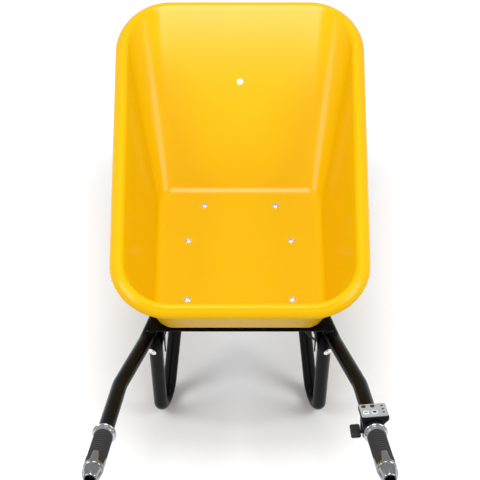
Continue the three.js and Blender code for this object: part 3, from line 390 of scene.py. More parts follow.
def bead_tree():
    """Lays overlapping weld scales along the geometry's edges, each a little unlike the next."""
    tree, given = new_tree("weld_run", [("Width", "NodeSocketFloat"), ("Seed", "NodeSocketInt")])
    pitch = add_node(tree, "ShaderNodeMath", {0: given["Width"], 1: BEAD_PITCH}, operation="MULTIPLY")
    curve = add_node(tree, "GeometryNodeMeshToCurve", {"Mesh": given["Geometry"]})
    spaced = add_node(tree, "GeometryNodeResampleCurve",
                      {"Curve": curve.outputs[0], "Length": pitch.outputs[0]}, mode="LENGTH")
    radius = add_node(tree, "ShaderNodeMath", {0: given["Width"], 1: 0.5}, operation="MULTIPLY")
    scale = add_node(tree, "GeometryNodeMeshUVSphere",
                     {"Segments": 8, "Rings": 5, "Radius": radius.outputs[0]})
    along = add_node(tree, "FunctionNodeAlignRotationToVector",
                     {"Vector": add_node(tree, "GeometryNodeInputTangent").outputs[0]}, axis="X")
    chance = add_node(tree, "FunctionNodeRandomValue",
                      {0: BEAD_SMALL, 1: BEAD_LARGE, "Seed": given["Seed"]},
                      data_type="FLOAT_VECTOR")
    copies = add_node(tree, "GeometryNodeInstanceOnPoints",
                      {"Points": spaced.outputs[0], "Instance": scale.outputs[0],
                       "Rotation": along.outputs[0], "Scale": chance.outputs[0]})
    return close_tree(tree, given, copies.outputs[0])


TREES = {}


def grown(name, shape, kind, values, finish, slot, **where):
    """Runs a geometry tree on a shape, keeps the plain mesh that it makes, and finishes the piece."""
    if kind not in TREES:
        TREES[kind] = kind()
    tree = TREES[kind]
    sockets = {item.name: item.identifier for item in tree.interface.items_tree if item.in_out == "INPUT"}
    made = new_object(name, shape)
    modifier = made.modifiers.new("pattern", "NODES")
    modifier.node_group = tree
    for label, value in {**values, "Material": finish}.items():
        modifier[sockets[label]] = value
    made.update_tag()
    bpy.context.view_layer.update()
    graph = bpy.context.evaluated_depsgraph_get()
    plain = bpy.data.meshes.new_from_object(made.evaluated_get(graph))
    made.modifiers.clear()
    made.data = plain
    return finished(made, finish, slot, **where)


def at_places(name, part, places, finish, slot, **where):
    """Copies of one shape at a list of places, through the places tree."""
    sample = new_object(name + "_sample", part)
    made = grown(name, (list(places), []), places_tree, {"Piece": sample}, finish, slot, **where)
    bpy.data.objects.remove(sample)
    return made


def round_z(name, part, count, finish, slot, rows=1, spacing=0.0, **where):
    """Copies of one shape round Z, in rows along it, through the ring tree."""
    values = {"Count": count, "Rows": rows, "Row Spacing": spacing}
    return grown(name, part, ring_tree, values, finish, slot, **where)


# ------------------------------------------------------------------ finishes


def start_finish(name, code, roughness, metallic=0.0, specular=None):
    """A material with its shader, and its object coordinates."""
    material = bpy.data.materials.new(name)
    material.use_nodes = True
    tree = material.node_tree
    shader = tree.nodes["Principled BSDF"]
    shader.inputs["Base Color"].default_value = (*code[:3], 1)
    shader.inputs["Roughness"].default_value = roughness
    shader.inputs["Metallic"].default_value = metallic
    if specular is not None:
        shader.inputs["Specular IOR Level"].default_value = specular
    where = add_node(tree, "ShaderNodeTexCoord").outputs["Object"]
    return material, tree, shader, where


def grain(tree, shader, where, size_mm, depth_mm, strength=0.4, detail=3.0):
    """A fine relief whose features are size_mm across."""
    noise = add_node(tree, "ShaderNodeTexNoise",
                     {"Vector": where, "Scale": 1 / (size_mm * MM), "Detail": detail})
    bump = add_node(tree, "ShaderNodeBump", {"Height": noise.outputs[0], "Strength": strength,
                                             "Distance": depth_mm * MM})
    tree.links.new(bump.outputs[0], shader.inputs["Normal"])


def mottled(tree, shader, where, size_mm, colours, roughs, detail=5.0):
    """Colour and roughness that drift between two values over patches size_mm across."""
    noise = add_node(tree, "ShaderNodeTexNoise",
                     {"Vector": where, "Scale": 1 / (size_mm * MM), "Detail": detail})
    tint = add_node(tree, "ShaderNodeMix", {"Factor": noise.outputs[0]}, data_type="RGBA")
    tint.inputs[6].default_value = (*colours[0][:3], 1)
    tint.inputs[7].default_value = (*colours[1][:3], 1)
    tree.links.new(tint.outputs[2], shader.inputs["Base Color"])
    rough = add_node(tree, "ShaderNodeMapRange",
                     {"Value": noise.outputs[0], "From Min": 0.3, "From Max": 0.7,
                      "To Min": roughs[0], "To Max": roughs[1]})
    tree.links.new(rough.outputs[0], shader.inputs["Roughness"])


def shade(code, factor):
    return tuple(min(1.0, v * factor) for v in code[:3])


def tray_enamel(colours):
    # Polyester powder coat on pressed steel: a deep even yellow under a clear gloss, with faint orange
    # peel 4 mm across, drawn coarse enough to break up a highlight, and a slow drift of the film's depth.
    code = colours.tray
    material, tree, shader, where = start_finish("tray_enamel", code, 0.2, specular=0.14)
    mottled(tree, shader, where, 260, (shade(code, 0.97), shade(code, 1.03)), (0.18, 0.23), 2.0)
    grain(tree, shader, where, 4.2, 0.05, 0.12, 1.0)
    shader.inputs["Coat Weight"].default_value = 0.05
    shader.inputs["Coat Roughness"].default_value = 0.12
    return material


def frame_powder(colours):
    # Gloss black powder coat on steel tube: near black, mirror-like at a glance, with 1.5 mm orange peel.
    code = colours.tubes
    material, tree, shader, where = start_finish("frame_powder", code, 0.2, specular=0.05)
    mottled(tree, shader, where, 90, (shade(code, 0.8), shade(code, 1.5)), (0.17, 0.26), 3.0)
    grain(tree, shader, where, 2.0, 0.03, 0.14, 2.0)
    shader.inputs["Coat Weight"].default_value = 0.05
    shader.inputs["Coat Roughness"].default_value = 0.08
    return material


def weld_scale(colours):
    # MIG weld bead under powder coat: the same black, duller where the coat sinks between the scales.
    code = colours.tubes
    material, tree, shader, where = start_finish("weld_scale", code, 0.36)
    mottled(tree, shader, where, 3, (shade(code, 0.7), shade(code, 2.2)), (0.28, 0.5), 3.0)
    grain(tree, shader, where, 0.8, 0.06, 0.4)
    return material


def zinc_plate(colours):
    # Bright zinc plate on steel: near white, with soft cloudy patches and a faint bluish spangle.
    material, tree, shader, where = start_finish("zinc_plate", linear("#E4E5E3"), 0.3, 1.0)
    mottled(tree, shader, where, 5, (linear("#D6D9DB"), linear("#F1F0EA")), (0.22, 0.42), 4.0)
    grain(tree, shader, where, 0.9, 0.02, 0.3)
    return material


def chrome_plate(colours):
    # Polished chrome on brass: a clear cold mirror with hair-fine polishing swirls.
    material, tree, shader, where = start_finish("chrome_plate", linear("#B4B5B7"), 0.12, 1.0)
    mottled(tree, shader, where, 12, (linear("#A8A9AB"), linear("#C2C3C5")), (0.09, 0.17), 4.0)
    grain(tree, shader, where, 1.2, 0.01, 0.15)
    return material


def brushed_end(colours):
    # Satin-polished zinc casting: the grip ends, brighter on the crowns, with streaks along the handle.
    material, tree, shader, where = start_finish("brushed_end", linear("#8E8F90"), 0.26, 1.0)
    stretch = add_node(tree, "ShaderNodeMapping", {"Vector": where, "Scale": (1.0, 0.14, 0.5)}).outputs[0]
    mottled(tree, shader, stretch, 1.6, (linear("#858687"), linear("#9D9E9F")), (0.17, 0.26), 3.0)
    grain(tree, shader, stretch, 0.9, 0.01, 0.1)
    return material


def grip_compound(colours):
    # Moulded thermoplastic rubber: dark grey and matt, with 0.6 mm stipple and dust in the hollows.
    code = colours.rubber
    material, tree, shader, where = start_finish("grip_compound", code, 0.62, specular=0.35)
    mottled(tree, shader, where, 7, (shade(code, 0.8), shade(code, 1.35)), (0.62, 0.82), 5.0)
    grain(tree, shader, where, 0.6, 0.08, 0.5, 2.0)
    return material


def tyre_compound(colours):
    # Carbon-black tyre rubber: matt, a little brown in the worn patches, with fine mould marks.
    code = colours.tyre
    material, tree, shader, where = start_finish("tyre_compound", code, 0.8)
    mottled(tree, shader, where, 22, (shade(code, 0.75), (0.022, 0.020, 0.018)), (0.68, 0.9), 6.0)
    grain(tree, shader, where, 1.4, 0.12, 0.5, 4.0)
    return material


def cast_aluminium(colours):
    # Die-cast aluminium, bead blasted: soft grey with a fine sparkle-free grain of about 0.7 mm.
    material, tree, shader, where = start_finish("cast_aluminium", linear("#A6A8AA"), 0.42, 1.0)
    mottled(tree, shader, where, 14, (linear("#96989B"), linear("#B8BABB")), (0.34, 0.52), 5.0)
    grain(tree, shader, where, 0.7, 0.06, 0.5, 3.0)
    return material


def ground_steel(colours):
    # Ground and oiled steel: darker than the zinc, with marks that run round the shaft.
    material, tree, shader, where = start_finish("ground_steel", linear("#8F9194"), 0.3, 1.0)
    stretch = add_node(tree, "ShaderNodeMapping", {"Vector": where, "Scale": (1.0, 0.1, 0.1)}).outputs[0]
    mottled(tree, shader, stretch, 0.8, (linear("#7B7D80"), linear("#A9ABAD")), (0.22, 0.4), 4.0)
    grain(tree, shader, stretch, 0.5, 0.02, 0.4)
    return material


def moulded_case(colours):
    # Injection-moulded ABS with a spark-eroded texture of about 0.8 mm: black, half matt.
    code = colours.plastic
    material, tree, shader, where = start_finish("moulded_case", code, 0.46, specular=0.15)
    mottled(tree, shader, where, 18, (shade(code, 0.85), shade(code, 1.4)), (0.38, 0.55), 4.0)
    grain(tree, shader, where, 0.8, 0.07, 0.45, 3.0)
    return material


def panel_film(colours):
    # Printed polyester overlay: mid grey with a coarse metallic fleck about 1 mm across, satin.
    code = colours.face
    material, tree, shader, where = start_finish("panel_film", code, 0.42)
    mottled(tree, shader, where, 1.1, (shade(code, 0.62), shade(code, 1.45)), (0.34, 0.5), 6.0)
    grain(tree, shader, where, 0.7, 0.03, 0.3)
    return material


def gauge_film(colours):
    # The same overlay printed light grey round the battery gauge's lamps.
    code = colours.gauge
    material, tree, shader, where = start_finish("gauge_film", code, 0.38)
    mottled(tree, shader, where, 2.4, (shade(code, 0.9), shade(code, 1.1)), (0.3, 0.46), 4.0)
    grain(tree, shader, where, 0.8, 0.02, 0.25)
    return material


def button_silicone(colours):
    # Silicone key cap: soft black with a slight sheen on its crown.
    material, tree, shader, where = start_finish("button_silicone", linear("#1C1C1E"), 0.5)
    mottled(tree, shader, where, 2.5, (linear("#141415"), linear("#29292B")), (0.42, 0.6), 3.0)
    grain(tree, shader, where, 0.5, 0.03, 0.35)
    return material


def button_ring(colours):
    # Frosted polycarbonate light ring: pale, slightly translucent, unlit.
    material, tree, shader, where = start_finish("button_ring", linear("#DCDDDB"), 0.32)
    mottled(tree, shader, where, 1.8, (linear("#CFD0CF"), linear("#EDEDEA")), (0.26, 0.4), 3.0)
    grain(tree, shader, where, 0.6, 0.02, 0.25)
    shader.inputs["Subsurface Weight"].default_value = 0.2
    shader.inputs["Subsurface Scale"].default_value = 0.001
    return material


def lamp_lens(colours):
    # Smoked epoxy lens over an unlit lamp: black and glossy.
    material, tree, shader, where = start_finish("lamp_lens", linear("#0C0C0D"), 0.4, specular=0.2)
    mottled(tree, shader, where, 1.5, (linear("#08080A"), linear("#161619")), (0.35, 0.45), 2.0)
    return material


def cable_jacket(colours):
    # PVC cable jacket: black, with a satin skin and the slow twist of the cores beneath it.
    material, tree, shader, where = start_finish("cable_jacket", linear("#121213"), 0.42)
    mottled(tree, shader, where, 8, (linear("#0E0E0F"), linear("#1B1B1C")), (0.36, 0.52), 3.0)
    grain(tree, shader, where, 1.5, 0.05, 0.35)
    return material


def copper_winding(colours):
    # Enamelled copper wire, wound: warm, with 1 mm strands drawn round the stator.
    material, tree, shader, where = start_finish("copper_winding", linear("#A8602F"), 0.34, 1.0)
    mottled(tree, shader, where, 3, (linear("#8C4A22"), linear("#C2773F")), (0.28, 0.45), 3.0)
    grain(tree, shader, where, 1.0, 0.1, 0.6)
    return material


def cell_wrap(colours):
    # Heat-shrunk PVC film round the cells: blue, glossy, slightly wrinkled.
    material, tree, shader, where = start_finish("cell_wrap", linear("#2A5F9E"), 0.3)
    mottled(tree, shader, where, 25, (linear("#22528B"), linear("#3169AB")), (0.22, 0.4), 4.0)
    grain(tree, shader, where, 6.0, 0.3, 0.4)
    return material


FINISHES = {}


def finish_of(builder):
    """A finish, made on its first use."""
    if builder not in FINISHES:
        FINISHES[builder] = builder(bpy.context.scene.barrow_colours)
    return FINISHES[builder]


def dress(node, builder):
    """Gives a carried-over CAD node its finish."""
    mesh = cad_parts[node].data
    mesh.materials.clear()
    mesh.materials.append(finish_of(builder))


# ------------------------------------------------------------------ tray

FLOOR = {
    "rear": -587, "front": -177, "halves": (190, 197),
    "rear_corner": (42, 58), "front_corner": (36, 62),
}
RIM = {
    "rear": -660, "front": 196, "halves": (246, 276),
    "rear_corner": (100, 108), "front_corner": (104, 132),
}
EDGE_STEPS, CORNER_STEPS, SIDE_STEPS = 7, 20, 18
FILLET_STEPS, WALL_BEND_STEPS = 10, 6
FLOOR_Z = 353.5  # the floor's upper face
RIM_Z = (545, 625)
LIP_CROWN, LIP_DROP = 4, 12
LIP_START, LIP_STEPS = 0.2, 12
CURL_STEPS, CURL_STEP_ANGLE = 14, 19
WALL_BEND = 8  # below the rim, where the wall starts to turn out into the lip
WALL_ANGLE = math.atan2(RIM_Z[1] - FLOOR_Z, RIM["front"] - FLOOR["front"])


def tray_outline(rear, front, halves, rear_corner, front_corner):
    """Points round the tray, from the middle of its rear edge; corners are quarter ellipses."""
    def half(y):
        return halves[0] + (halves[1] - halves[0]) * (y - rear) / (front - rear)

    turns = [math.pi / 2 * k / CORNER_STEPS for k in range(CORNER_STEPS + 1)]
    right = [((halves[0] - rear_corner[0]) * k / EDGE_STEPS, rear) for k in range(1, EDGE_STEPS)]
    for a in turns:
        y = rear + rear_corner[1] * (1 - math.cos(a))
        right.append((half(y) - rear_corner[0] * (1 - math.sin(a)), y))
    first, last = rear + rear_corner[1], front - front_corner[1]
    rows = [first + (last - first) * k / SIDE_STEPS for k in range(1, SIDE_STEPS)]
    right += [(half(y), y) for y in rows]
    for a in turns:
        y = front - front_corner[1] * (1 - math.sin(a))
        right.append((half(y) - front_corner[0] * (1 - math.cos(a)), y))
    inner = halves[1] - front_corner[0]
    right += [(inner * (EDGE_STEPS - k) / EDGE_STEPS, front) for k in range(1, EDGE_STEPS)]
    return [(0, rear), *right, (0, front), *[(-x, y) for x, y in reversed(right)]]


def rim_height(y):
    return RIM_Z[0] + (RIM_Z[1] - RIM_Z[0]) * (y - RIM["rear"]) / (RIM["front"] - RIM["rear"])


def lip_profile(width, curl):
    """The lip's section as (out, up) pairs from the wall's top, ending in the edge rolled round a wire."""
    profile = []
    for k in range(LIP_STEPS):
        share = LIP_START + (1 - LIP_START) * k / (LIP_STEPS - 1)
        rise = LIP_CROWN * math.sin(math.pi * min(share, 0.62) / 0.72)
        fall = LIP_DROP * max(0, (share - 0.36) / 0.64) ** 2.4
        profile.append((width * share, rise - fall))
    (x0, z0), (x1, z1) = profile[-2:]
    heading = math.atan2(z1 - z0, x1 - x0)
    centre = (x1 + curl * math.sin(heading), z1 - curl * math.cos(heading))
    for k in range(1, CURL_STEPS + 1):
        angle = heading + math.pi / 2 - math.radians(CURL_STEP_ANGLE * k)
        profile.append((centre[0] + curl * math.cos(angle), centre[1] + curl * math.sin(angle)))
    return profile


def tray_surface(sizes):
    """The tray's upper face, from the floor out to the rolled edge."""
    fillet = sizes.fillet / MM
    floor = [Vector((x, y, FLOOR_Z)) for x, y in tray_outline(**FLOOR)]
    top = [Vector((x, y, rim_height(y))) for x, y in tray_outline(**RIM)]
    count = len(top)
    around = [top[(i + 1) % count] - top[i - 1] for i in range(count)]
    outward = [Vector((v.y, -v.x, 0)).normalized() for v in around]
    inset = [p - o * fillet for p, o in zip(floor, outward)]
    climb = [(t - p).normalized() for t, p in zip(top, floor)]
    rings = []
    hub = Vector((0, (FLOOR["rear"] + FLOOR["front"]) / 2, FLOOR_Z))
    for share in (0.3, 0.65, 0.9):
        rings.append([hub.lerp(p, share) for p in inset])

    def curve(start, at, end, steps):
        for k in range(steps + 1):
            t = k / steps
            rings.append([a.lerp(b, t).lerp(b.lerp(c, t), t) for a, b, c in zip(start, at, end)])

    low = [p + c * fillet for p, c in zip(floor, climb)]
    curve(inset, floor, low, FILLET_STEPS)
    profile = lip_profile(sizes.lip_width / MM, sizes.curl / MM)
    high = [t - c * WALL_BEND for t, c in zip(top, climb)]
    for share in (0.2, 0.4, 0.6, 0.8):
        rings.append([a.lerp(b, share) for a, b in zip(low, high)])

    def lip_ring(out, up):
        return [t + o * out + Vector((0, 0, up)) for t, o in zip(top, outward)]

    curve(high, top, lip_ring(*profile[0]), WALL_BEND_STEPS)
    rings += [lip_ring(*p) for p in profile[1:]]
    points, faces = skin(rings, caps=False)
    faces.append(tuple(range(count)))
    return points, faces


class WHEELBARROW_OT_tray(bpy.types.Operator):
    """Press the tray: one sheet with a flat floor, raked walls and a rolled lip"""

    bl_idname = "wheelbarrow.tray"
    bl_label = "Tray"

    def execute(self, context):
        sizes = context.scene.barrow_body
        made = new_object("tray_shell", tray_surface(sizes))
        floor = made.data.polygons[-1]
        if floor.normal.z < 0:
            made.data.flip_normals()
        finished(made, finish_of(tray_enamel), "tray_paint", stands_for=("tray",), outward=False)
        wall = made.modifiers.new("sheet", "SOLIDIFY")
        wall.thickness = sizes.sheet
        wall.offset = -1
        return {"FINISHED"}


# ------------------------------------------------------------------ bolts

BOLTS = {"front": (86.5, -218), "mid": (122.5, -329), "rear": (120, -504)}
NOSE_BOLT_Y = 46
SHANK_R, THREAD_PITCH = 4.0, 1.25
NUT_FLATS, NUT_HEIGHT = 13, 6.5
WASHER, ROUND_STEPS = 1.3, 48
RAIL_Z, LEG_RUN_Z, STRAP_LOW = 331.4, 299.1, 347.7
LEG_AT = Vector((192, -582, 0))
LEG_BOLT_Z, LEG_BOLT_TURN = 281.1, 25
LEG_BOLT_HEAD, LEG_BOLT_LENGTH = 19, 22


def socket_bolt(washer, length, nut_at=None):
    """A button-head bolt with its washer under it, a hexagon socket and, lower down, its nut."""
    head = washer * 0.4
    washer_shape = turned([(SHANK_R, 0), (washer / 2 - 0.3, 0), (washer / 2, 0.3), (washer / 2, 1.0),
                           (washer / 2 - 0.3, WASHER), (SHANK_R, WASHER)], ROUND_STEPS)
    rings = []
    turns = [2 * math.pi * k / ROUND_STEPS for k in range(ROUND_STEPS)]
    dome = [(head, WASHER), (head, 1.7), (head * 0.93, 2.6), (head * 0.74, 3.5), (head * 0.52, 3.8)]
    for r, z in [(SHANK_R, WASHER), *dome]:
        rings.append([(r * math.cos(a), r * math.sin(a), z) for a in turns])
    for z, r in ((3.7, head * 0.4), (2.3, head * 0.38), (2.2, 0.01)):
        hexed = [r / math.cos((a % (math.pi / 3)) - math.pi / 6) for a in turns]
        rings.append([(h * math.cos(a), h * math.sin(a), z) for a, h in zip(turns, hexed)])
    thread = [(0, -length), (SHANK_R - 1, -length), (SHANK_R - 0.5, -length + 0.6)]
    for k in range(int((NUT_HEIGHT + 3) / THREAD_PITCH)):
        low = -length + 0.7 + THREAD_PITCH * k
        thread += [(SHANK_R, low + THREAD_PITCH / 2), (SHANK_R - 0.5, low + THREAD_PITCH)]
    shank = turned([*thread, (SHANK_R, 0), (SHANK_R, 1.4), (0, 1.4)], 24)
    shapes = [washer_shape, skin(rings), shank]
    if nut_at is not None:
        flange = turned([(SHANK_R, nut_at), (9, nut_at), (9, nut_at - 1), (6.6, nut_at - 2),
                         (SHANK_R, nut_at - 2)], 36)
        nut = block_of_hexagon(NUT_FLATS, nut_at - NUT_HEIGHT, nut_at - 1)
        shapes += [flange, nut]
    return combined(*shapes)


def block_of_hexagon(flats, low, high):
    """A hexagon nut's body with its corners chamfered."""
    corner = flats / math.sqrt(3)
    levels = ((low, 0.9), (low + 0.08 * flats, 1.0), (high, 1.0))
    rings = [[(x * s, y * s, z) for x, y in circle(corner, 6)] for z, s in levels]
    return skin(rings)


def nose_place():
    """Where the nose bolt stands on the front wall, and the wall's slope."""
    rise = (NOSE_BOLT_Y - FLOOR["front"]) * math.tan(WALL_ANGLE)
    return Matrix.Translation((0, NOSE_BOLT_Y, FLOOR_Z + rise)) @ Matrix.Rotation(WALL_ANGLE, 4, "X")


class WHEELBARROW_OT_bolts(bpy.types.Operator):
    """Fit the tray bolts with their washers and nuts, the nose bolt and the leg bolts"""

    bl_idname = "wheelbarrow.bolts"
    bl_label = "Bolts"

    def execute(self, context):
        washer = context.scene.barrow_body.head / MM
        zinc = finish_of(zinc_plate)
        tube = context.scene.barrow_body.tube / MM
        lift = FLOOR_Z + GAP
        undersides = {"front": RAIL_Z - tube / 2, "mid": LEG_RUN_Z - tube / 2, "rear": STRAP_LOW}
        for name, (x, y) in BOLTS.items():
            stack = lift - undersides[name] + GAP
            bolt = socket_bolt(washer, stack + NUT_HEIGHT + 3, -stack)
            nodes = [f"{name}_tray_bolt_{side}" for side, _ in SIDES]
            at_places(f"{name}_tray_bolts", bolt, [(-x, y, lift), (x, y, lift)], zinc, "zinc",
                      stands_for=nodes)
        stack = context.scene.barrow_body.hoop / MM + 3 * GAP + 1.5
        nose = socket_bolt(washer - 2, stack + NUT_HEIGHT + 3, -stack)
        piece("nose_bolt_fine", nose, zinc, "zinc", stands_for=("nose_bolt",),
              at=nose_place() @ Matrix.Translation((0, 0, GAP)))
        for name, side in SIDES:
            at = Matrix.Translation((side * LEG_AT.x, LEG_AT.y, LEG_BOLT_Z))
            at = at @ Matrix.Rotation(side * math.radians(LEG_BOLT_TURN), 4, "Z")
            at = at @ Matrix.Rotation(math.pi / 2, 4, "X")
            at = at @ Matrix.Translation((0, 0, tube / 2 + GAP))
            piece(f"{name}_leg_screw", socket_bolt(LEG_BOLT_HEAD, LEG_BOLT_LENGTH), zinc, "zinc",
                  stands_for=(f"{name}_leg_bolt",), at=at)
        return {"FINISHED"}


# ------------------------------------------------------------------ tubes

RAIL_HALF_GAP, RAIL_FRONT_Y, RAIL_SLOPE = 84, 90, 36 / 111
HANDLE_BEND_XY, GRIP_END = (252.5, -775), Vector((279, -1079, 558))
RISE_Y = -601
LEG_LEAN, LEG_FOOT_BEND, LEG_SHOULDER_BEND, LEG_TOP_BEND, LEG_REAR_RUN = 24.4, 38, 22, 34, 90
GRIP_END_AT = 296


def rail_x(y):
    return BOLTS["front"][0] + (BOLTS["front"][1] - y) * RAIL_SLOPE


def handle_bend():
    """The handle's upper bend: the rise is even from the rear strap to the grip's end."""
    x, y = HANDLE_BEND_XY
    run = math.hypot(x - rail_x(RISE_Y), y - RISE_Y)
    rest = math.hypot(GRIP_END.x - x, GRIP_END.y - y)
    return Vector((x, y, RAIL_Z + (GRIP_END.z - RAIL_Z) * run / (run + rest)))


def mirrored(point, side):
    return Vector((point[0] * side, point[1], point[2]))


def handle_place(side, along):
    """A place on the handle, the given distance behind its bend: X right, Y forward along the tube."""
    bend, end = mirrored(handle_bend(), side), mirrored(GRIP_END, side)
    forward = (bend - end).normalized()
    up = (Vector((0, 0, 1)) - forward * forward.z).normalized()
    turn = Matrix((forward.cross(up), forward, up)).transposed().to_4x4()
    return Matrix.Translation(bend - forward * along) @ turn


def rail_path(side):
    parallel_y = BOLTS["front"][1] + (BOLTS["front"][0] - RAIL_HALF_GAP) / RAIL_SLOPE
    bend = handle_bend()
    tube_end = bend + (GRIP_END - bend).normalized() * GRIP_END_AT
    points = [(RAIL_HALF_GAP, RAIL_FRONT_Y, RAIL_Z), (RAIL_HALF_GAP, parallel_y, RAIL_Z),
              (rail_x(RISE_Y), RISE_Y, RAIL_Z), bend, tube_end]
    return bent([mirrored(p, side) for p in points], [60, 60, 150])


def leg_path(side, tube):
    """Under the rail, down the rear limb, round the foot and up the leaning front limb to the mid bolt."""
    mid = Vector((*BOLTS["mid"], 0))
    forward = (mid - LEG_AT).normalized()
    lean = math.radians(LEG_LEAN)
    foot_z = tube / 2
    toe = LEG_FOOT_BEND + LEG_FOOT_BEND * math.tan((math.pi / 2 - lean) / 2)
    head = toe + (LEG_RUN_Z - foot_z) * math.tan(lean)
    stops = ((LEG_REAR_RUN, LEG_RUN_Z), (0, LEG_RUN_Z), (0, foot_z), (toe + 0.5, foot_z), (head, LEG_RUN_Z),
             ((mid - LEG_AT).length + 20, LEG_RUN_Z))
    points = [mirrored(LEG_AT + forward * run + Vector((0, 0, z)), side) for run, z in stops]
    return bent(points, [LEG_SHOULDER_BEND, LEG_FOOT_BEND, LEG_FOOT_BEND, LEG_TOP_BEND])


def hoop_path(hoop):
    drop = 1.5 + GAP + hoop / 2
    spot = nose_place() @ Vector((0, 0, -drop))
    width, foot = RAIL_HALF_GAP, RAIL_Z + 8
    points = [(-width, spot.y, foot), (-width, spot.y, spot.z),
              (width, spot.y, spot.z), (width, spot.y, foot)]
    return bent(points, [45, 45])


def pipe(path, radius, wall=1.6, steps=32):
    """A hollow tube along a path, its ends left open, as cut tube is."""
    outer, faces = sweep(path, circle(radius, steps))
    inner, _ = sweep(path, circle(radius - wall, steps))
    count, last = len(outer), len(outer) - steps
    faces = faces[:-2]
    faces += [tuple(count + i for i in reversed(face)) for face in faces]
    for k in range(steps):
        n = (k + 1) % steps
        faces.append((k, count + k, count + n, n))
        faces.append((last + n, count + last + n, count + last + k, last + k))
    return outer + inner, faces


class WHEELBARROW_OT_tubes(bpy.types.Operator):
    """Bend the two handle tubes, the two legs and the nose hoop, and plug the rails"""

    bl_idname = "wheelbarrow.tubes"
    bl_label = "Tubes"

    def execute(self, context):
        sizes = context.scene.barrow_body
        tube, hoop = sizes.tube / MM, sizes.hoop / MM
        paint = finish_of(frame_powder)
        for name, side in SIDES:
            piece(f"{name}_handle_pipe", pipe(rail_path(side), tube / 2), paint, "frame_paint",
                  stands_for=(f"{name}_handle_tube",))
            piece(f"{name}_leg_pipe", pipe(leg_path(side, tube), tube / 2), paint, "frame_paint",
                  stands_for=(f"{name}_leg_tube",))
            plug = turned([(0, 0), (tube / 2 - 2, 0), (tube / 2 - 2, 14), (tube / 2, 14.3), (tube / 2, 16.4),
                           (tube / 2 - 0.5, 17.4), (tube / 2 - 2, 18), (5, 18), (4, 17.2), (0, 17.2)], 40)
            at = Matrix.Translation((side * RAIL_HALF_GAP, RAIL_FRONT_Y - 14, RAIL_Z))
            piece(f"{name}_rail_plug", plug, finish_of(moulded_case), "black_plastic",
                  stands_for=(f"{name}_rail_end_cap",), at=at @ Matrix.Rotation(-math.pi / 2, 4, "X"))
        piece("nose_hoop_pipe", pipe(hoop_path(hoop), hoop / 2, steps=28), paint, "frame_paint",
              stands_for=("nose_hoop",))
        return {"FINISHED"}


# ------------------------------------------------------------------ straps, plates and welds


def refined(node, finish, slot, edge, **where):
    """A merged copy of a plate from the frame, with its flats made whole and its edges eased."""
    made = bpy.data.objects.new(node + "_fine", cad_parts[node].data.copy())
    bpy.context.scene.collection.objects.link(made)
    work = bmesh.new()
    work.from_mesh(made.data)
    bmesh.ops.remove_doubles(work, verts=work.verts, dist=2e-6)
    bmesh.ops.dissolve_limit(work, angle_limit=math.radians(1), verts=work.verts, edges=work.edges)
    work.to_mesh(made.data)
    work.free()
    return finished(made, finish, slot, stands_for=(node,), at=TO_FRAME.inverted(), edge=edge, **where)


def axle_plate(side):
    """The axle bracket: a tapered plate with a raised washer pad round its eye."""
    low, high = corners("right_axle_bracket")
    half, eye, bore, neck = (high.y - low.y) / 2, 24, 7.3, RAIL_Z - 16
    top, axle_z = high.z, AXLE.z / MM
    fall = [math.pi + math.pi * k / 20 for k in range(21)]
    outer = [(half - 3, top), (-half + 3, top), (-half, top - 3), (-half, neck)]
    outer += [(eye * math.cos(a), axle_z + eye * math.sin(a)) for a in fall]
    outer += [(half, neck), (half, top - 3)]
    plate = slab(outer, low.x, high.x)
    pad = turned([(bore, high.x - 0.2), (18, high.x - 0.2), (18, high.x + 0.6), (bore, high.x + 0.6)], 40)
    lay = Matrix(((0, 0, 1, 0), (1, 0, 0, 0), (0, 1, 0, 0), (0, 0, 0, 1)))
    shape = combined(moved(plate, lay), moved(pad, Matrix.Translation((0, 0, axle_z)) @ lay))
    return [mirrored(p, side) for p in shape[0]], shape[1]


def arc_run(x, y, z, radius, start, end, steps=10):
    """Points across the top of a tube that runs along Y."""
    turns = [math.radians(start + (end - start) * k / steps) for k in range(steps + 1)]
    return [(x + radius * math.sin(a), y, z + radius * math.cos(a)) for a in turns]


STRAP_WELD_ANGLE, CROSS_WELD_ANGLES = 38, (-44, 4)
LEG_WELD_Y, BRACKET_WELD_Y, WELD_STEP = (-376, -294), (-58, 60), 8


def weld_lines(side, tube, hoop):
    """The runs of weld on one side of the frame."""
    over = tube / 2 + 1
    lines = []
    for node in ("front_bolt_strap", "mid_bolt_strap", "rear_bolt_strap", "battery_strap"):
        low, high = corners(node)
        for y in (low.y, high.y):
            lines.append(arc_run(side * rail_x(y), y, RAIL_Z, over, -STRAP_WELD_ANGLE, STRAP_WELD_ANGLE))
    low, high = corners("rear_cross_strap")
    for y in (low.y + 1, high.y):
        x = rail_x(y)
        run = arc_run(x, y, RAIL_Z, over, *CROSS_WELD_ANGLES)
        lines.append([(side * px, py, pz) for px, py, pz in run])
    for edge in (-7, 7):
        under = RAIL_Z - tube / 2 - 0.5
        lines.append([(side * (rail_x(y) + edge), y, under) for y in range(*LEG_WELD_Y, WELD_STEP)])
    low, high = corners("right_gusset")
    for x in (low.x, high.x):
        lines.append([(side * x, y, high.z) for y in (low.y + 2, (low.y + high.y) / 2, high.y - 2)])
    spot = hoop_path(hoop)[0]
    turns = [2 * math.pi * k / 28 for k in range(29)]
    reach = hoop / 2 + 0.6
    lines.append([(side * RAIL_HALF_GAP + reach * math.cos(a), spot.y + reach * math.sin(a),
                   RAIL_Z + math.sqrt(over**2 - (reach * math.cos(a)) ** 2)) for a in turns])
    low, high = corners("right_axle_bracket")
    for z in (high.z - 1, RAIL_Z - 11.5):
        lines.append([(side * (high.x + 2.8), y, z) for y in range(*BRACKET_WELD_Y, WELD_STEP)])
    return lines


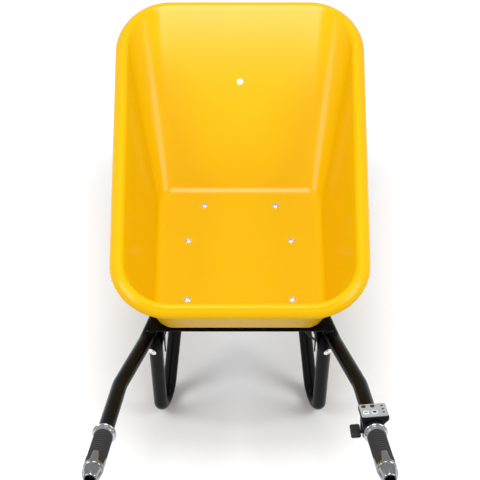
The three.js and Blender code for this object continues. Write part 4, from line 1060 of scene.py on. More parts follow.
class WHEELBARROW_OT_plates(bpy.types.Operator):
    """Cut the straps, gussets and axle brackets, and lay the welds that join them to the tubes"""

    bl_idname = "wheelbarrow.plates"
    bl_label = "Plates and Welds"

    def execute(self, context):
        sizes = context.scene.barrow_body
        paint = finish_of(frame_powder)
        for node in ("rear_cross_strap", "front_bolt_strap", "mid_bolt_strap", "rear_bolt_strap",
                     "battery_strap", "left_gusset", "right_gusset"):
            refined(node, paint, "frame_paint", 0.7)
        for name, side in SIDES:
            piece(f"{name}_axle_plate", axle_plate(side), paint, "frame_paint",
                  stands_for=(f"{name}_axle_bracket",), edge=0.7)
            points, edges = [], []
            for line in weld_lines(side, sizes.tube / MM, sizes.hoop / MM):
                edges += [(len(points) + k, len(points) + k + 1) for k in range(len(line) - 1)]
                points += line
            guide = (points, edges)
            grown(f"{name}_welds", guide, bead_tree, {"Width": sizes.bead / MM, "Seed": 5 + side},
                  finish_of(weld_scale), "frame_paint")
        return {"FINISHED"}


# ------------------------------------------------------------------ wheel

ON_AXLE = Matrix.Translation((0, 0, AXLE.z / MM)) @ Matrix.Rotation(math.pi / 2, 4, "Y")
TYRE_R, CARCASS_R, SEAT_R = 195, 189.5, 102.3
RIM_FLANGE_R, RIM_HALF = 113, 36
COVER_R, COVER_FACE = 89, 30.3


def tyre_section():
    """Outer and inner faces of the carcass as (radius, across) pairs."""
    outer = [(SEAT_R, 35), (106, 36.6), (112, 38.8), (118, 41.6), (119, 42.8), (121, 42.9), (122.5, 42.6),
             (132, 45.2), (142, 46.6), (149, 46.9), (150, 47.6), (152.5, 47.5), (153.5, 46.6), (162, 45),
             (170, 42), (177, 37.6), (182.5, 31.5), (186, 24.5), (188.4, 16), (CARCASS_R, 6)]
    inner = [(SEAT_R, 26), (112, 29), (125, 34.5), (142.3, 37.6), (158, 33), (172, 24), (180, 12), (183, 0)]
    outer += [(r, -x) for r, x in reversed(outer)]
    inner = [(r, -x) for r, x in inner] + [(r, x) for r, x in reversed(inner[:-1])]
    return outer + inner


def carcass_radius(across):
    """The carcass's radius under a tread lug."""
    table = [(0, CARCASS_R), (16, 188.4), (24.5, 186), (31.5, 182.5), (37.6, 177), (42, 170), (45, 162)]
    for (x0, r0), (x1, r1) in zip(table, table[1:]):
        if across <= x1:
            return r0 + (r1 - r0) * (across - x0) / (x1 - x0)
    return table[-1][1]


LUG_STEPS, LUG_START, LUG_REACH = 8, 4, 39
LUG_HALF_WIDTH, LUG_SLANT, LUG_ROOT = 8.5, 0.0022, 1.5


def lug(height, pitch):
    """A pair of slanting tread blocks, one on each half of the tyre and half a pitch apart."""
    shapes = []
    for side in (-1, 1):
        rings = []
        for k in range(LUG_STEPS + 1):
            across = LUG_START + LUG_REACH * k / LUG_STEPS
            rise = height * (0.55 if k in (0, LUG_STEPS) else 1.0)
            low = carcass_radius(across) - LUG_ROOT
            high = min(low + LUG_ROOT + rise, TYRE_R - 0.02)
            turn = (0.5 + side / 4) * pitch + (across - LUG_START) * LUG_SLANT
            wide = LUG_HALF_WIDTH / TYRE_R
            section = ((-wide, low), (wide, low), (wide * 0.82, high - 0.4), (wide * 0.7, high),
                       (-wide * 0.7, high), (-wide * 0.82, high - 0.4))
            rings.append([(r * math.cos(turn + a), r * math.sin(turn + a), side * across)
                          for a, r in section])
        shapes.append(skin(rings))
    return combined(*shapes)


VALVE_AT, VALVE_LEAN = (98, 0, 30), -40


def valve():
    """A rubber valve stem with its brass core and cap."""
    stem = turned([(0, 0), (6, 0), (6.4, 1.2), (5, 2.4), (4, 5), (3.6, 12), (2.8, 13), (2.8, 14),
                   (0, 14)], 24)
    cap = turned([(0, 13.4), (3.3, 13.4), (3.3, 18.6), (2.6, 20), (0, 20.3)], 20)
    lean = Matrix.Translation(VALVE_AT) @ Matrix.Rotation(math.radians(VALVE_LEAN), 4, "Y")
    return moved(combined(stem, cap), lean)


class WHEELBARROW_OT_wheel(bpy.types.Operator):
    """Build the tyre with its tread, the rim and the valve"""

    bl_idname = "wheelbarrow.wheel"
    bl_label = "Wheel"

    def execute(self, context):
        sizes = context.scene.barrow_wheel
        rubber = finish_of(tyre_compound)
        piece("tyre_carcass", turned(tyre_section(), 128), rubber, "tyre_rubber", body="wheel",
              stands_for=("tyre",), at=ON_AXLE, crease=50)
        round_z("tread_lugs", lug(sizes.lug_height / MM, 2 * math.pi / sizes.lugs), sizes.lugs, rubber,
                "tyre_rubber", body="wheel", at=ON_AXLE, crease=30)
        rib = turned([(188, -3.4), (193.4, -2.4), (193.9, -1.8), (193.9, 1.8), (193.4, 2.4),
                      (188, 3.4)], 128)
        piece("tread_rib", rib, rubber, "tyre_rubber", body="wheel", at=ON_AXLE, crease=30)
        mark = soft_block(-0.7, -7, 0.7, 7, 0, 1.0, 0.6, 0.3)
        mark = moved(mark, Matrix.Translation((156.5, 0, 45.4)) @ Matrix.Rotation(math.pi / 2, 4, "Z"))
        mark = combined(mark, ([Vector((p.x, p.y, -p.z)) for p in mark[0]], mark[1]))
        round_z("sidewall_marks", mark, 60, rubber, "tyre_rubber", body="wheel", at=ON_AXLE, crease=30)
        half, seat = RIM_HALF, 101
        edge = [(RIM_FLANGE_R - 1.5, half + 6.4), (RIM_FLANGE_R, half + 5.6),
                (RIM_FLANGE_R + 0.3, half + 4.4),
                (RIM_FLANGE_R - 0.6, half + 3), (107, half + 1), (103, half - 0.6), (seat, half - 3)]
        rim = [(80, 26), (96, 26), (97.5, 32), (99, half + 3.5), (103, half + 5.5), (108, half + 6.4), *edge]
        rim += [(seat, 19), (100, 17), (92, 14.6), (91, 13)]
        rim += [(r, -x) for r, x in reversed(rim)]
        piece("rim_fine", turned(rim, 112), finish_of(frame_powder), "frame_paint", body="wheel",
              stands_for=("wheel_rim",), at=ON_AXLE)
        piece("valve_stem", valve(), finish_of(grip_compound), "grip_rubber", body="wheel", at=ON_AXLE)
        dress("inner_tube", tyre_compound)
        return {"FINISHED"}


class WHEELBARROW_OT_motor(bpy.types.Operator):
    """Close the hub motor: its two covers with ribs and screws, its bearings, axle and nuts"""

    bl_idname = "wheelbarrow.motor"
    bl_label = "Hub Motor"

    def execute(self, context):
        sizes = context.scene.barrow_wheel
        alloy, steel, zinc = finish_of(cast_aluminium), finish_of(ground_steel), finish_of(zinc_plate)
        for name, side in SIDES:
            face = ON_AXLE @ Matrix.Scale(side, 4, (0, 0, 1))
            low, out = COVER_FACE - 4, COVER_FACE
            cover = [(19.3, out + 2), (19.3, out + 5.6), (18.6, out + 6.8), (17.4, out + 7), (14.3, out + 7),
                     (14.3, low - 3.6), (19.3, low - 3.6), (22, low), (COVER_R, low), (COVER_R, out - 1.6),
                     (COVER_R - 1.6, out), (76, out), (75, out - 1), (73.6, out - 1), (72.6, out),
                     (72, out + 1.2), (34, out + 2.2), (24, out + 2.4), (22, out + 2)]
            piece(f"{name}_cover", turned(cover, 96), alloy, "cast_aluminium", body="wheel",
                  stands_for=(f"{name}_motor_cover",), at=face)
            rib = skin([[(r, -w, out), (r, w, out), (r, w * 0.6, z), (r, -w * 0.6, z)]
                        for r, w, z in ((30, 1.2, out + 2.4), (34, 1.3, out + 4.6), (66, 1.6, out + 3.6),
                                        (71, 1.5, out + 1.4))])
            round_z(f"{name}_cover_ribs", rib, sizes.ribs, alloy, "cast_aluminium", body="wheel",
                    at=face, crease=25)
            screw = moved(socket_bolt(9.5, 3), Matrix.Translation((82, 0, out)) @ Matrix.Scale(0.72, 4))
            round_z(f"{name}_cover_screws", screw, sizes.screws, zinc, "zinc", body="wheel", at=face)
            seal = out - 3
            bearing = [(7.3, seal), (13.9, seal), (13.9, seal + 8), (12.4, seal + 8), (12, seal + 7.5),
                       (9.2, seal + 7.5), (8.8, seal + 8), (7.3, seal + 8)]
            piece(f"{name}_bearing_fine", turned(bearing, 48), steel, "bearing_steel", body="wheel",
                  stands_for=(f"{name}_bearing",), at=face)
            low, high = corners("right_axle_nut")
            nut = combined(block_of_hexagon(22, low.x + 1.2, high.x),
                           turned([(7.4, low.x), (15, low.x), (15, low.x + 1.4), (7.4, low.x + 1.4)], 40))
            piece(f"{name}_axle_nut_fine", nut, zinc, "zinc", stands_for=(f"{name}_axle_nut",),
                  at=face, edge=0.5)
        low, high = corners("axle")
        shaft = [(0, -high.x), (5.8, -high.x), (6.6, -high.x + 1)]
        threads = []
        for k in range(15):
            start = -high.x + 1.2 + 1.5 * k
            threads += [(7, start + 0.7), (6.3, start + 1.4)]
        shaft += [*threads, (7, -high.x + 25)]
        shaft += [(r, -z) for r, z in reversed(shaft)]
        piece("axle_fine", turned(shaft, 40), steel, "bearing_steel", stands_for=("axle",), at=ON_AXLE)
        dress("motor_stator", copper_winding)
        return {"FINISHED"}


# ------------------------------------------------------------------ battery box


class WHEELBARROW_OT_battery(bpy.types.Operator):
    """Mould the battery box: ribbed case, lid, latches, charging cap and cable glands"""

    bl_idname = "wheelbarrow.battery"
    bl_label = "Battery Box"

    def execute(self, context):
        case_finish, rubber = finish_of(moulded_case), finish_of(grip_compound)
        low, high = corners("battery_box")
        body = soft_block(low.x, low.y, high.x, high.y, low.z, high.z, 14, 5)
        band = block(low.x - 1.6, low.y - 1.6, high.x + 1.6, high.y + 1.6, 15.6,
                     [(high.z - 13, 1.5), (high.z - 12, 0.2), (high.z - 3, 0.2), (high.z - 2, 1.5)])
        piece("battery_case", combined(body, band), case_finish, "black_plastic",
              stands_for=("battery_box",), edge=0.5)
        lid_low, lid_high = corners("battery_box_lid")
        lid = soft_block(lid_low.x - 1.8, lid_low.y - 1.8, lid_high.x + 1.8, lid_high.y + 1.8,
                         lid_low.z - 0.2, lid_high.z, 15.8, 2)
        piece("battery_lid", lid, case_finish, "black_plastic", stands_for=("battery_box_lid",))
        tall = (low.z + 12, high.z - 18)
        side_rib = soft_block(-1.6, -2, 1.6, 2, 0, tall[1] - tall[0], 1.2, 1)
        places = [(x, y, tall[0]) for x in (low.x, high.x) for y in range(-460, -316, 16)
                  if x > 0 or abs(y + 390) > 24]
        at_places("battery_case_ribs", side_rib, places, case_finish, "black_plastic")
        foot = soft_block(-60, -1.8, 60, 1.8, -1.2, 1.2, 1.6, 0.8)
        at_places("battery_case_feet", foot, [(0, y, low.z) for y in range(-450, -320, 20)], case_finish,
                  "black_plastic")
        hasp = combined(soft_block(-13, -4, 13, 0.5, -24, 3, 2, 1.4),
                        soft_block(-9, -7, 9, -3, -22, -6, 1.6, 1.4),
                        moved(turned([(0, -11), (1.8, -11), (1.8, 11), (0, 11)], 16),
                              Matrix.Translation((0, -4.5, -1)) @ Matrix.Rotation(math.pi / 2, 4, "Y")))
        at_places("battery_latches", hasp, [(-45, low.y - 1, high.z), (36, low.y - 1, high.z)], case_finish,
                  "black_plastic", edge=0.3)
        cap = turned([(0, 0), (13, 0), (13.2, 1), (12.6, 2), (11, 2.6), (10.6, 6.5), (9.4, 8.6),
                      (6, 9.6), (0, 10)], 40)
        at = Matrix.Translation(middle("charge_port_cap"))
        at = at @ Matrix.Translation((5, 0, 0)) @ Matrix.Rotation(-math.pi / 2, 4, "Y")
        piece("charging_cap", cap, rubber, "grip_rubber", stands_for=("charge_port_cap",), at=at)
        tether = sweep(bent([(12, 0, 0.8), (19, 0, 1.4), (26, 0, 0.8)], [8], 6),
                       rounded(-1, -3, 1, 3, 0.8, 3))
        knob = soft_block(-1.2, -7, 1.2, 7, 8.6, 11.2, 1, 0.8)
        piece("charging_cap_tether", combined(tether, knob), rubber, "grip_rubber", at=at)
        for name, cable, turn in (("control_cable_gland", 2.5, 90), ("motor_cable_gland", 3.5, -90)):
            g_low, g_high = corners(name)
            centre = (g_low + g_high) / 2
            foot_y = g_high.y if turn > 0 else g_low.y
            hexes = block_of_hexagon(15.4, 4.4, 0.2)
            dome = turned([(cable + 0.2, 5), (7.4, 5), (7.6, 6), (7.2, 10.4), (6, 12.2), (cable + 1.2, 13),
                           (cable + 0.2, 13)], 32)
            notch = round_notches(7.5, 5.2, 10.6)
            at = Matrix.Translation((centre.x, foot_y, centre.z))
            at = at @ Matrix.Rotation(math.radians(turn), 4, "X")
            piece(f"{name}_fine", combined(hexes, dome, *notch), case_finish, "black_plastic",
                  stands_for=(name,), at=at, edge=0.25)
        dress("battery_pack", cell_wrap)
        dress("motor_controller", cast_aluminium)
        return {"FINISHED"}


def round_notches(radius, low, high, count=12):
    """Grip flutes round a gland nut."""
    rib = soft_block(radius - 1, -0.6, radius + 0.3, 0.6, low, high, 0.5, 0.4)
    return [moved(rib, Matrix.Rotation(2 * math.pi * k / count, 4, "Z")) for k in range(count)]


# ------------------------------------------------------------------ cables

# The throttle's lead: under the handle, down past the leg's shoulder, round in front of the rear limb
# and forward to the battery box.
CONTROL_ROUTE = [
    (262.6, -893, 446.6), (260.6, -869, 435.2), (258.5, -844, 423.3), (256.6, -820, 412),
    (254.2, -797, 401.2), (250.4, -770, 388.8), (244.5, -742, 375.4), (237.5, -713, 361.7),
    (230.5, -684, 348), (223.4, -654, 333.6), (218, -628, 320), (214.8, -604, 308),
    (214.6, -584, 298), (211.6, -567, 284), (203, -556, 270), (190, -552, 261),
    (176, -550, 258.5), (161, -540, 266), (144, -529, 278), (124, -521, 288),
    (102, -517, 292), (84, -514.5, 292.6), (73.5, -508, 292.2), (70.2, -501, 292), (70, -494, 292),
]
# The motor's lead: out of the axle's left end, up the bracket and back to the battery box.
MOTOR_ROUTE = [
    (-88.4, 0, 195), (-93, 0, 195), (-98, -0.5, 195.2), (-103, -7, 198), (-105, -22, 206), (-104, -46, 222),
    (-102, -72, 243), (-98, -100, 262), (-92, -130, 276), (-84, -160, 284), (-75, -190, 285),
    (-66, -218, 280), (-59, -244, 271), (-54, -264, 264), (-52.2, -278, 262.1), (-52, -286, 262),
]
CONTROL_CABLE_R, MOTOR_CABLE_R = 2.5, 3.5
CLIPS_AT_Y = (-872, -812, -726, -662)
CLIP_WALL, CLIP_HALF = 1.5, 3


def clip(reach, cable_radius, tube_radius):
    """A clip stuck under a tube along Y: a ring round the cable, hung the given distance below the axis."""
    inner, outer = cable_radius + 0.1, cable_radius + CLIP_WALL
    ring = turned([(inner, -CLIP_HALF), (outer, -CLIP_HALF), (outer, CLIP_HALF), (inner, CLIP_HALF)], 24)
    ring = moved(ring, Matrix.Translation((0, 0, -reach)) @ Matrix.Rotation(math.pi / 2, 4, "X"))
    post = soft_block(-2.4, -CLIP_HALF, 2.4, CLIP_HALF,
                      -reach + cable_radius + 0.6, -tube_radius + 0.4, 0.8, 0.3)
    return combined(ring, post)


class WHEELBARROW_OT_cables(bpy.types.Operator):
    """Run the throttle's lead and the motor's lead, and clip the first under the handle"""

    bl_idname = "wheelbarrow.cables"
    bl_label = "Cables"

    def execute(self, context):
        jacket = finish_of(cable_jacket)
        for name, route, radius in (("control_cable", CONTROL_ROUTE, CONTROL_CABLE_R),
                                    ("motor_cable", MOTOR_ROUTE, MOTOR_CABLE_R)):
            piece(f"{name}_lead", sweep(eased(route), circle(radius, 16)), jacket, "cable_jacket",
                  stands_for=(name,), crease=60)
        tube = context.scene.barrow_body.tube / 2 / MM
        bend = handle_bend()
        rise = Vector((rail_x(RISE_Y), RISE_Y, RAIL_Z))
        for count, y in enumerate(CLIPS_AT_Y, 1):
            start, end = (bend, GRIP_END) if y < bend.y else (rise, bend)
            along = (end - start).normalized()
            at = start + along * ((y - start.y) / along.y)
            up = (Vector((0, 0, 1)) - along * along.z).normalized()
            near = min(eased(CONTROL_ROUTE), key=lambda p: abs((p - at).dot(along)))
            reach = (at - near).dot(up)
            turn = Matrix((along.cross(up), along, up)).transposed().to_4x4()
            piece(f"cable_clip_{count}", clip(reach, CONTROL_CABLE_R, tube), finish_of(moulded_case),
                  "black_plastic", at=Matrix.Translation(at) @ turn, edge=0.2)
        boot = turned([(3.6, 0), (6.4, 0), (6.4, 3), (5.2, 5), (4.6, 12), (3.6, 13)], 28)
        start = Vector(MOTOR_ROUTE[0])
        piece("axle_cable_boot", boot, finish_of(grip_compound), "grip_rubber",
              at=Matrix.Translation(start + Vector((0.4, 0, 0))) @ Matrix.Rotation(-math.pi / 2, 4, "Y"))
        return {"FINISHED"}


# ------------------------------------------------------------------ grips

COLLAR_AT, COLLAR_R, GRIP_R = 181, 24, 19
RUBBER_AT = 195.3
FLUTE_DEPTH = 0.8
ALONG = Matrix.Rotation(math.pi / 2, 4, "X")  # turned pieces lie along the handle, low end forward


def grip_end(claws, reach):
    """The end ferrule: points that reach over the rubber, a bead, a fluted barrel and a bored nose."""
    steps = 96 * 2
    turns = [2 * math.pi * k / steps for k in range(steps)]

    def tip(angle):
        swing = abs((angle - math.pi / 2 + math.pi / claws) % (2 * math.pi / claws) - math.pi / claws)
        share = swing / (math.pi / claws)
        hill = max(0.0, min(1.0, (0.62 - share) / 0.3))
        return -reach * (hill * hill * (3 - 2 * hill))

    def ring(radius, z, edge=0.0, flute=0.0):
        made = []
        for a in turns:
            r = radius - flute * FLUTE_DEPTH * (1 - math.cos(2 * claws * (a - math.pi / 2)))
            made.append((r * math.cos(a), r * math.sin(a), z + edge * tip(a)))
        return made

    rings = [ring(GRIP_R - 1.2, 1, 1), ring(GRIP_R + 0.5, 0.2, 1), ring(GRIP_R + 0.8, 1.6, 1)]
    rings += [ring(GRIP_R + 0.8, 1.6 + 1.4 * k, 1 - k / 5) for k in range(1, 5)]
    profile = [(19.7, 8.2, 0), (19.2, 9, 0), (18.3, 9.8, 0), (18.4, 10.6, 0), (19.3, 11.6, 0.3),
               (19.7, 14, 0.7),
               (19.5, 18, 1.2), (18.9, 22, 1.5), (17.9, 26, 1.5), (16.6, 30, 1.2), (15.2, 34, 0.8),
               (13.8, 37.5, 0.4), (13, 39.4, 0.1), (12, 40.4, 0), (10.9, 40.6, 0), (10.2, 40.1, 0),
               (9.7, 38, 0), (9.5, 26, 0)]
    rings += [ring(r, z, 0, flute) for r, z, flute in profile]
    points, faces = skin(rings, caps=False)
    count = len(points)
    points.append(Vector((0, 0, 26)))
    points.append(Vector((0, 0, 1)))
    last = count - steps
    for k in range(steps):
        n = (k + 1) % steps
        faces.append((last + k, last + n, count))
        faces.append((n, k, count + 1))
    return points, faces


class WHEELBARROW_OT_grips(bpy.types.Operator):
    """Fit each handle's chrome collar, ribbed rubber and polished end"""

    bl_idname = "wheelbarrow.grips"
    bl_label = "Grips"

    def execute(self, context):
        sizes = context.scene.barrow_handlebar
        bore = context.scene.barrow_body.tube / 2 / MM + GAP
        collar = [(bore, 0), (21.6, 0), (23.2, 0.5), (COLLAR_R, 1.7), (COLLAR_R, 3.2), (23.3, 4.4),
                  (21.8, 5),
                  (20.6, 5.6), (20.4, 6.2), (21.2, 6.9), (21.9, 7.8), (22, 9), (21.4, 10.4), (20.4, 12.2),
                  (19.9, 13.6), (19.2, 14), (bore, 14)]
        start, end = 0, GRIP_END_AT - RUBBER_AT - 1.2
        sleeve = [(bore, start), (17.6, start), (18.8, 0.8), (18.8, 2.5), (16.7, 3.6), (16.7, end - 2),
                  (16.7, end), (bore, end)]
        pitch = (end - 7) / sizes.grip_ribs
        low, high = 16.7, 16.7 + sizes.rib_height / MM
        rib = turned([(low - 0.3, 0), (low, 0), (high - 0.4, 0.08 * pitch), (high, 0.16 * pitch),
                      (high, 0.44 * pitch), (high - 0.4, 0.52 * pitch), (low, 0.6 * pitch),
                      (low - 0.3, 0.6 * pitch)], 64)
        for name, side in SIDES:
            base = handle_place(side, 0) @ ALONG
            piece(f"{name}_collar", turned(collar, 80), finish_of(chrome_plate), "chrome",
                  stands_for=(f"{name}_grip_collar",), at=base @ Matrix.Translation((0, 0, COLLAR_AT)))
            seat = base @ Matrix.Translation((0, 0, RUBBER_AT))
            rubber = finish_of(grip_compound)
            piece(f"{name}_grip_sleeve", turned(sleeve, 64), rubber, "grip_rubber",
                  stands_for=(f"{name}_grip_rubber",), at=seat)
            round_z(f"{name}_grip_rings", rib, 1, rubber, "grip_rubber", rows=sizes.grip_ribs, spacing=pitch,
                    at=seat @ Matrix.Translation((0, 0, 4.5)), crease=60)
            plug = turned([(0, 26.3), (9.3, 26.3), (9.3, 38.6), (8.7, 39), (8.4, 38.4), (8.2, 28),
                           (0, 28)], 40)
            piece(f"{name}_grip_bore", plug, finish_of(lamp_lens), "grip_rubber",
                  at=base @ Matrix.Translation((0, 0, GRIP_END_AT + GAP)))
            piece(f"{name}_grip_ferrule", grip_end(sizes.claws, sizes.claw_length / MM),
                  finish_of(brushed_end), "chrome", stands_for=(f"{name}_grip_end",), crease=45,
                  at=base @ Matrix.Translation((0, 0, GRIP_END_AT + GAP)))
        return {"FINISHED"}


# ------------------------------------------------------------------ switch box and throttle

CONTROL_AT, CONTROL_LENGTH = 121, 47
INBOARD, OUTBOARD, CONTROL_TOP = -25, 30, 28
FACE_Z = 30.3
FRONT_ROW, REAR_ROW = 13.6, -8.9
BUTTONS = {
    "speed_up_button": (-15.5, FRONT_ROW, 4.5),
    "speed_down_button": (2, FRONT_ROW, 4.5),
    "power_button": (-14.2, REAR_ROW, 6.2),
    "direction_button": (3, REAR_ROW, 6.2),
}
LAMPS = ((21, 13.5), (21, 1.5), (21, -10.5))


def ends_softened(outline, length, soft=1.6):
    """An outline in X and Z carried along Y, drawn in a little at both ends."""
    centre = sum((Vector(p) for p in outline), Vector((0, 0))) / len(outline)
    half = length / 2
    stations = [(-half, 1.0), (-half + soft * 0.3, 0.3), (-half + soft, 0.0)]
    stations += [(-y, inset) for y, inset in reversed(stations)]
    rings = []
    for y, inset in stations:
        ring = []
        for p in outline:
            inward = (centre - Vector(p)).normalized() * inset * soft
            ring.append((p[0] + inward.x, y, p[1] + inward.y))
        rings.append(ring)
    return skin(rings)


def eased_outline(points, radius):
    """A closed outline whose corners are rounded."""
    points = [Vector(p) for p in points]
    outline = []
    for i, at in enumerate(points):
        before, after = points[i - 1], points[(i + 1) % len(points)]
        start, end = at + (before - at).normalized() * radius, at + (after - at).normalized() * radius
        outline += [tuple(start.lerp(at, t).lerp(at.lerp(end, t), t)) for t in (0, 0.25, 0.5, 0.75, 1)]
    return outline


def button_cap(radius, ringed):
    """A key cap that stands from under the face to just above it."""
    top = FACE_Z + 1.8
    rim = radius - (1.9 if ringed else 0.0)
    return turned([(0, FACE_Z - 6), (rim, FACE_Z - 6), (rim, top - 0.7), (rim - 0.25, top - 0.2),
                   (rim - 0.8, top), (rim * 0.5, top - 0.15), (0, top - 0.3)], 40)


class WHEELBARROW_OT_switches(bpy.types.Operator):
    """Build the switch box: case, clamp, printed face, battery gauge and four buttons"""

    bl_idname = "wheelbarrow.switches"
    bl_label = "Switch Box"

    def execute(self, context):
        at = handle_place(1, CONTROL_AT + CONTROL_LENGTH / 2)
        case = finish_of(moulded_case)
        corner = [(INBOARD, CONTROL_TOP + 0.6), (INBOARD, 19), (-16, 9.5), (20, 9.5), (OUTBOARD, 19),
                  (OUTBOARD, CONTROL_TOP + 0.6)]
        shell = ends_softened(eased_outline(corner, 2.2), CONTROL_LENGTH)
        piece("switch_case", shell, case, "black_plastic", stands_for=("control_housing",), at=at, edge=0.25)
        arc = [math.radians(-215 + 250 * k / 40) for k in range(41)]
        bore = context.scene.barrow_body.tube / 2 / MM + GAP
        band = [(21 * math.cos(a), 21 * math.sin(a)) for a in arc]
        band += [(bore * math.cos(a), bore * math.sin(a)) for a in reversed(arc)]
        clamp = skin([[(x, y, z) for x, z in band] for y in (-22, 22)])
        piece("switch_clamp", clamp, case, "black_plastic", stands_for=("control_clamp",), at=at, edge=0.8)
        boss = combined(turned([(0, -21.5), (3.6, -21.5), (4, -21), (4, 12), (0, 12)], 24),
                        turned([(0, -22.3), (2.6, -22.3), (2.8, -21.4), (0, -21.4)], 20))
        bosses = [(x, y, 0) for x in (-18, 18) for y in (-14, 14)]
        at_places("switch_clamp_screws", boss, bosses, case, "black_plastic", at=at, edge=0.2)
        half = CONTROL_LENGTH / 2
        plate = soft_block(INBOARD + 0.8, -half + 0.8, OUTBOARD - 0.8, half - 0.8,
                           CONTROL_TOP + 0.3, FACE_Z, 4.5, 0.5)
        piece("switch_face", plate, finish_of(panel_film), "face_plastic",
              stands_for=("control_face",), at=at)
        strip = soft_block(14.4, -half + 1.5, OUTBOARD - 1.4, half - 1.5,
                           FACE_Z - 0.3, FACE_Z + 0.35, 4, 0.25)
        piece("gauge_strip", strip, finish_of(gauge_film), "face_plastic", at=at)
        lamp = turned([(0, -0.5), (2.5, -0.5), (2.5, 0.2), (2.1, 0.6), (1, 0.9), (0, 1)], 24)
        at_places("gauge_lamps", lamp, [(x, y, FACE_Z + 0.2) for x, y in LAMPS], finish_of(lamp_lens),
                  "black_plastic", at=at)
        for name, (x, y, radius) in BUTTONS.items():
            ringed = radius > 5
            spot = at @ Matrix.Translation((x, y, 0))
            look = panel_film if name == "power_button" else button_silicone
            piece(f"{name}_cap", button_cap(radius, ringed), finish_of(look), "black_plastic", body=name,
                  stands_for=(name,), at=spot)
            if ringed:
                top = FACE_Z + 1.9
                halo = [(radius - 2, FACE_Z - 2), (radius - 0.1, FACE_Z - 2), (radius, top - 0.9),
                        (radius - 0.4, top - 0.2), (radius - 1, top), (radius - 1.7, top - 0.25),
                        (radius - 2, top - 0.8)]
                piece(f"{name}_ring", turned(halo, 48), finish_of(button_ring), "face_plastic",
                      body=name, at=spot)
        return {"FINISHED"}


THROTTLE_GAP, THROTTLE_HALF = 1, 5.5
PADDLE_TILT = 30
RIDGES_AT = (-9, -6, -3, 0, 3, 6, 9)


class WHEELBARROW_OT_throttle(bpy.types.Operator):
    """Build the thumb throttle: its hub on the handle, its stem and its ribbed paddle"""

    bl_idname = "wheelbarrow.throttle"
    bl_label = "Thumb Throttle"

    def execute(self, context):
        at = handle_place(1, CONTROL_AT + CONTROL_LENGTH + THROTTLE_GAP + THROTTLE_HALF)
        case = finish_of(moulded_case)
        hub = turned([(16.6, -5.2), (19.6, -5.2), (20.6, -4.7), (21, -4), (21, -1.4), (20.3, -0.9),
                      (20.3, 0.9), (21, 1.4), (21, 4), (20.6, 4.7), (19.6, 5.2), (16.6, 5.2)], 56)
        neck = sweep([(-18.5, 0, 1), (-24, 0, 1.4), (-30, 0, 2.4), (-36, 0, 3.4)], circle(4.2, 20, 0.8))
        tilt = Matrix.Translation((-39, 0, 4)) @ Matrix.Rotation(math.radians(PADDLE_TILT), 4, "X")
        paddle = moved(soft_block(-10, -14.5, 10, 14.5, -2.2, 2.2, 4, 1.3), tilt)
        piece("throttle_lever", combined(moved(hub, ALONG), neck, paddle), case, "black_plastic",
              body="thumb_lever", stands_for=("thumb_lever",), at=at)
        ridge = soft_block(-7.4, -0.6, 7.4, 0.6, 0, 1.0, 0.5, 0.4)
        at_places("throttle_ridges", ridge, [(0, y, 1.9) for y in RIDGES_AT],
                  finish_of(grip_compound), "black_plastic", body="thumb_lever", at=at @ tilt)
        return {"FINISHED"}


# ------------------------------------------------------------------ stage

VIEW_TARGET = Vector((0, 0.0655, 0.400))
VIEW_DISTANCE, VIEW_ELEVATION = 2.9, 50
VIEW_LENS, VIEW_SENSOR = 93.75, 36
STUDIO_HALF_WIDTH = 9
AIR_STRENGTH = 0.58
# Each light's name, place, aim, width, depth and watts.
LIGHTS = (
    ("overhead", (0, 0.0, 3.0), (0, 0, 0.3), 1.1, 0.8, 42),
    ("left_panel", (-2.2, -0.35, 2.2), (0, 0, 0.4), 1.3, 1.2, 32),
    ("right_panel", (2.2, -0.35, 2.2), (0, 0, 0.4), 1.3, 1.2, 32),
)


def soft_light(name, at, towards, width, depth, power):
    data = bpy.data.lights.new(name, "AREA")
    data.shape = "RECTANGLE"
    data.size, data.size_y, data.energy = width, depth, power
    lamp = bpy.data.objects.new(name, data)
    lamp.location = at
    lamp.rotation_euler = (Vector(towards) - Vector(at)).to_track_quat("-Z", "Y").to_euler()
    bpy.context.scene.collection.objects.link(lamp)


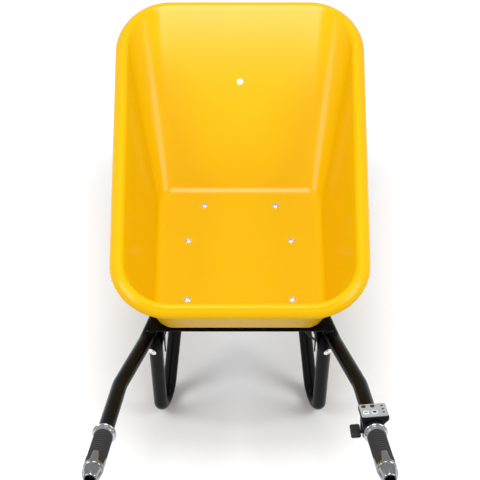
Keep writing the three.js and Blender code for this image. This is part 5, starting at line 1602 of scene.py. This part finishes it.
class WHEELBARROW_OT_stage(bpy.types.Operator):
    """Set the pale floor, the soft lights and the camera"""

    bl_idname = "wheelbarrow.stage"
    bl_label = "Studio"

    def execute(self, context):
        scene = context.scene
        edge = STUDIO_HALF_WIDTH
        floor = new_object("studio_floor", ([(-edge, -edge, 0), (edge, -edge, 0), (edge, edge, 0),
                                             (-edge, edge, 0)], [(0, 1, 2, 3)]))
        material, tree, shader, where = start_finish("studio_paper", linear("#F8F9FB"), 0.9)
        mottled(tree, shader, where, 900, (linear("#F7F8FA"), linear("#F9FAFC")), (0.86, 0.94), 2.0)
        shader.inputs["Specular IOR Level"].default_value = 0.1
        floor.data.materials.append(material)
        world = bpy.data.worlds.new("studio_air")
        world.use_nodes = True
        air = world.node_tree.nodes["Background"]
        air.inputs["Color"].default_value = (1, 1, 1, 1)
        air.inputs["Strength"].default_value = AIR_STRENGTH
        scene.world = world
        for light in LIGHTS:
            soft_light(*light)
        data = bpy.data.cameras.new("view")
        data.lens, data.sensor_width = VIEW_LENS, VIEW_SENSOR
        camera = bpy.data.objects.new("view", data)
        tilt = math.radians(VIEW_ELEVATION)
        camera.location = VIEW_TARGET + VIEW_DISTANCE * Vector((0, -math.cos(tilt), math.sin(tilt)))
        camera.rotation_euler = (math.pi / 2 - tilt, 0, 0)
        scene.collection.objects.link(camera)
        scene.camera = camera
        scene.view_settings.view_transform = "Standard"
        return {"FINISHED"}


# ------------------------------------------------------------------ panel and run

OPERATORS = (
    WHEELBARROW_OT_stage, WHEELBARROW_OT_cables, WHEELBARROW_OT_tray, WHEELBARROW_OT_bolts,
    WHEELBARROW_OT_tubes, WHEELBARROW_OT_plates, WHEELBARROW_OT_wheel, WHEELBARROW_OT_motor,
    WHEELBARROW_OT_battery, WHEELBARROW_OT_grips, WHEELBARROW_OT_switches, WHEELBARROW_OT_throttle,
)
GROUPS = {
    "barrow_body": WHEELBARROW_PG_body,
    "barrow_wheel": WHEELBARROW_PG_wheel,
    "barrow_handlebar": WHEELBARROW_PG_handlebar,
    "barrow_colours": WHEELBARROW_PG_colours,
}


class WHEELBARROW_PT_parts(bpy.types.Panel):
    """Lists the barrow's pieces with their sizes and colours."""

    bl_idname = "WHEELBARROW_PT_parts"
    bl_label = "Wheelbarrow"
    bl_space_type = "VIEW_3D"
    bl_region_type = "UI"
    bl_category = "Wheelbarrow"

    def draw(self, context):
        for name, group in GROUPS.items():
            box = self.layout.box()
            for key in group.__annotations__:
                box.prop(getattr(context.scene, name), key)
        for operator in OPERATORS:
            self.layout.operator(operator.bl_idname)


def register():
    for kind in (*GROUPS.values(), *OPERATORS, WHEELBARROW_PT_parts):
        bpy.utils.register_class(kind)
    for name, group in GROUPS.items():
        setattr(bpy.types.Scene, name, PointerProperty(type=group))


def unregister():
    for name in GROUPS:
        delattr(bpy.types.Scene, name)
    for kind in (WHEELBARROW_PT_parts, *reversed(OPERATORS), *GROUPS.values()):
        bpy.utils.unregister_class(kind)


def main():
    register()
    for operator in OPERATORS:
        group, name = operator.bl_idname.split(".")
        getattr(getattr(bpy.ops, group), name)()


if __name__ == "__main__":
    main()
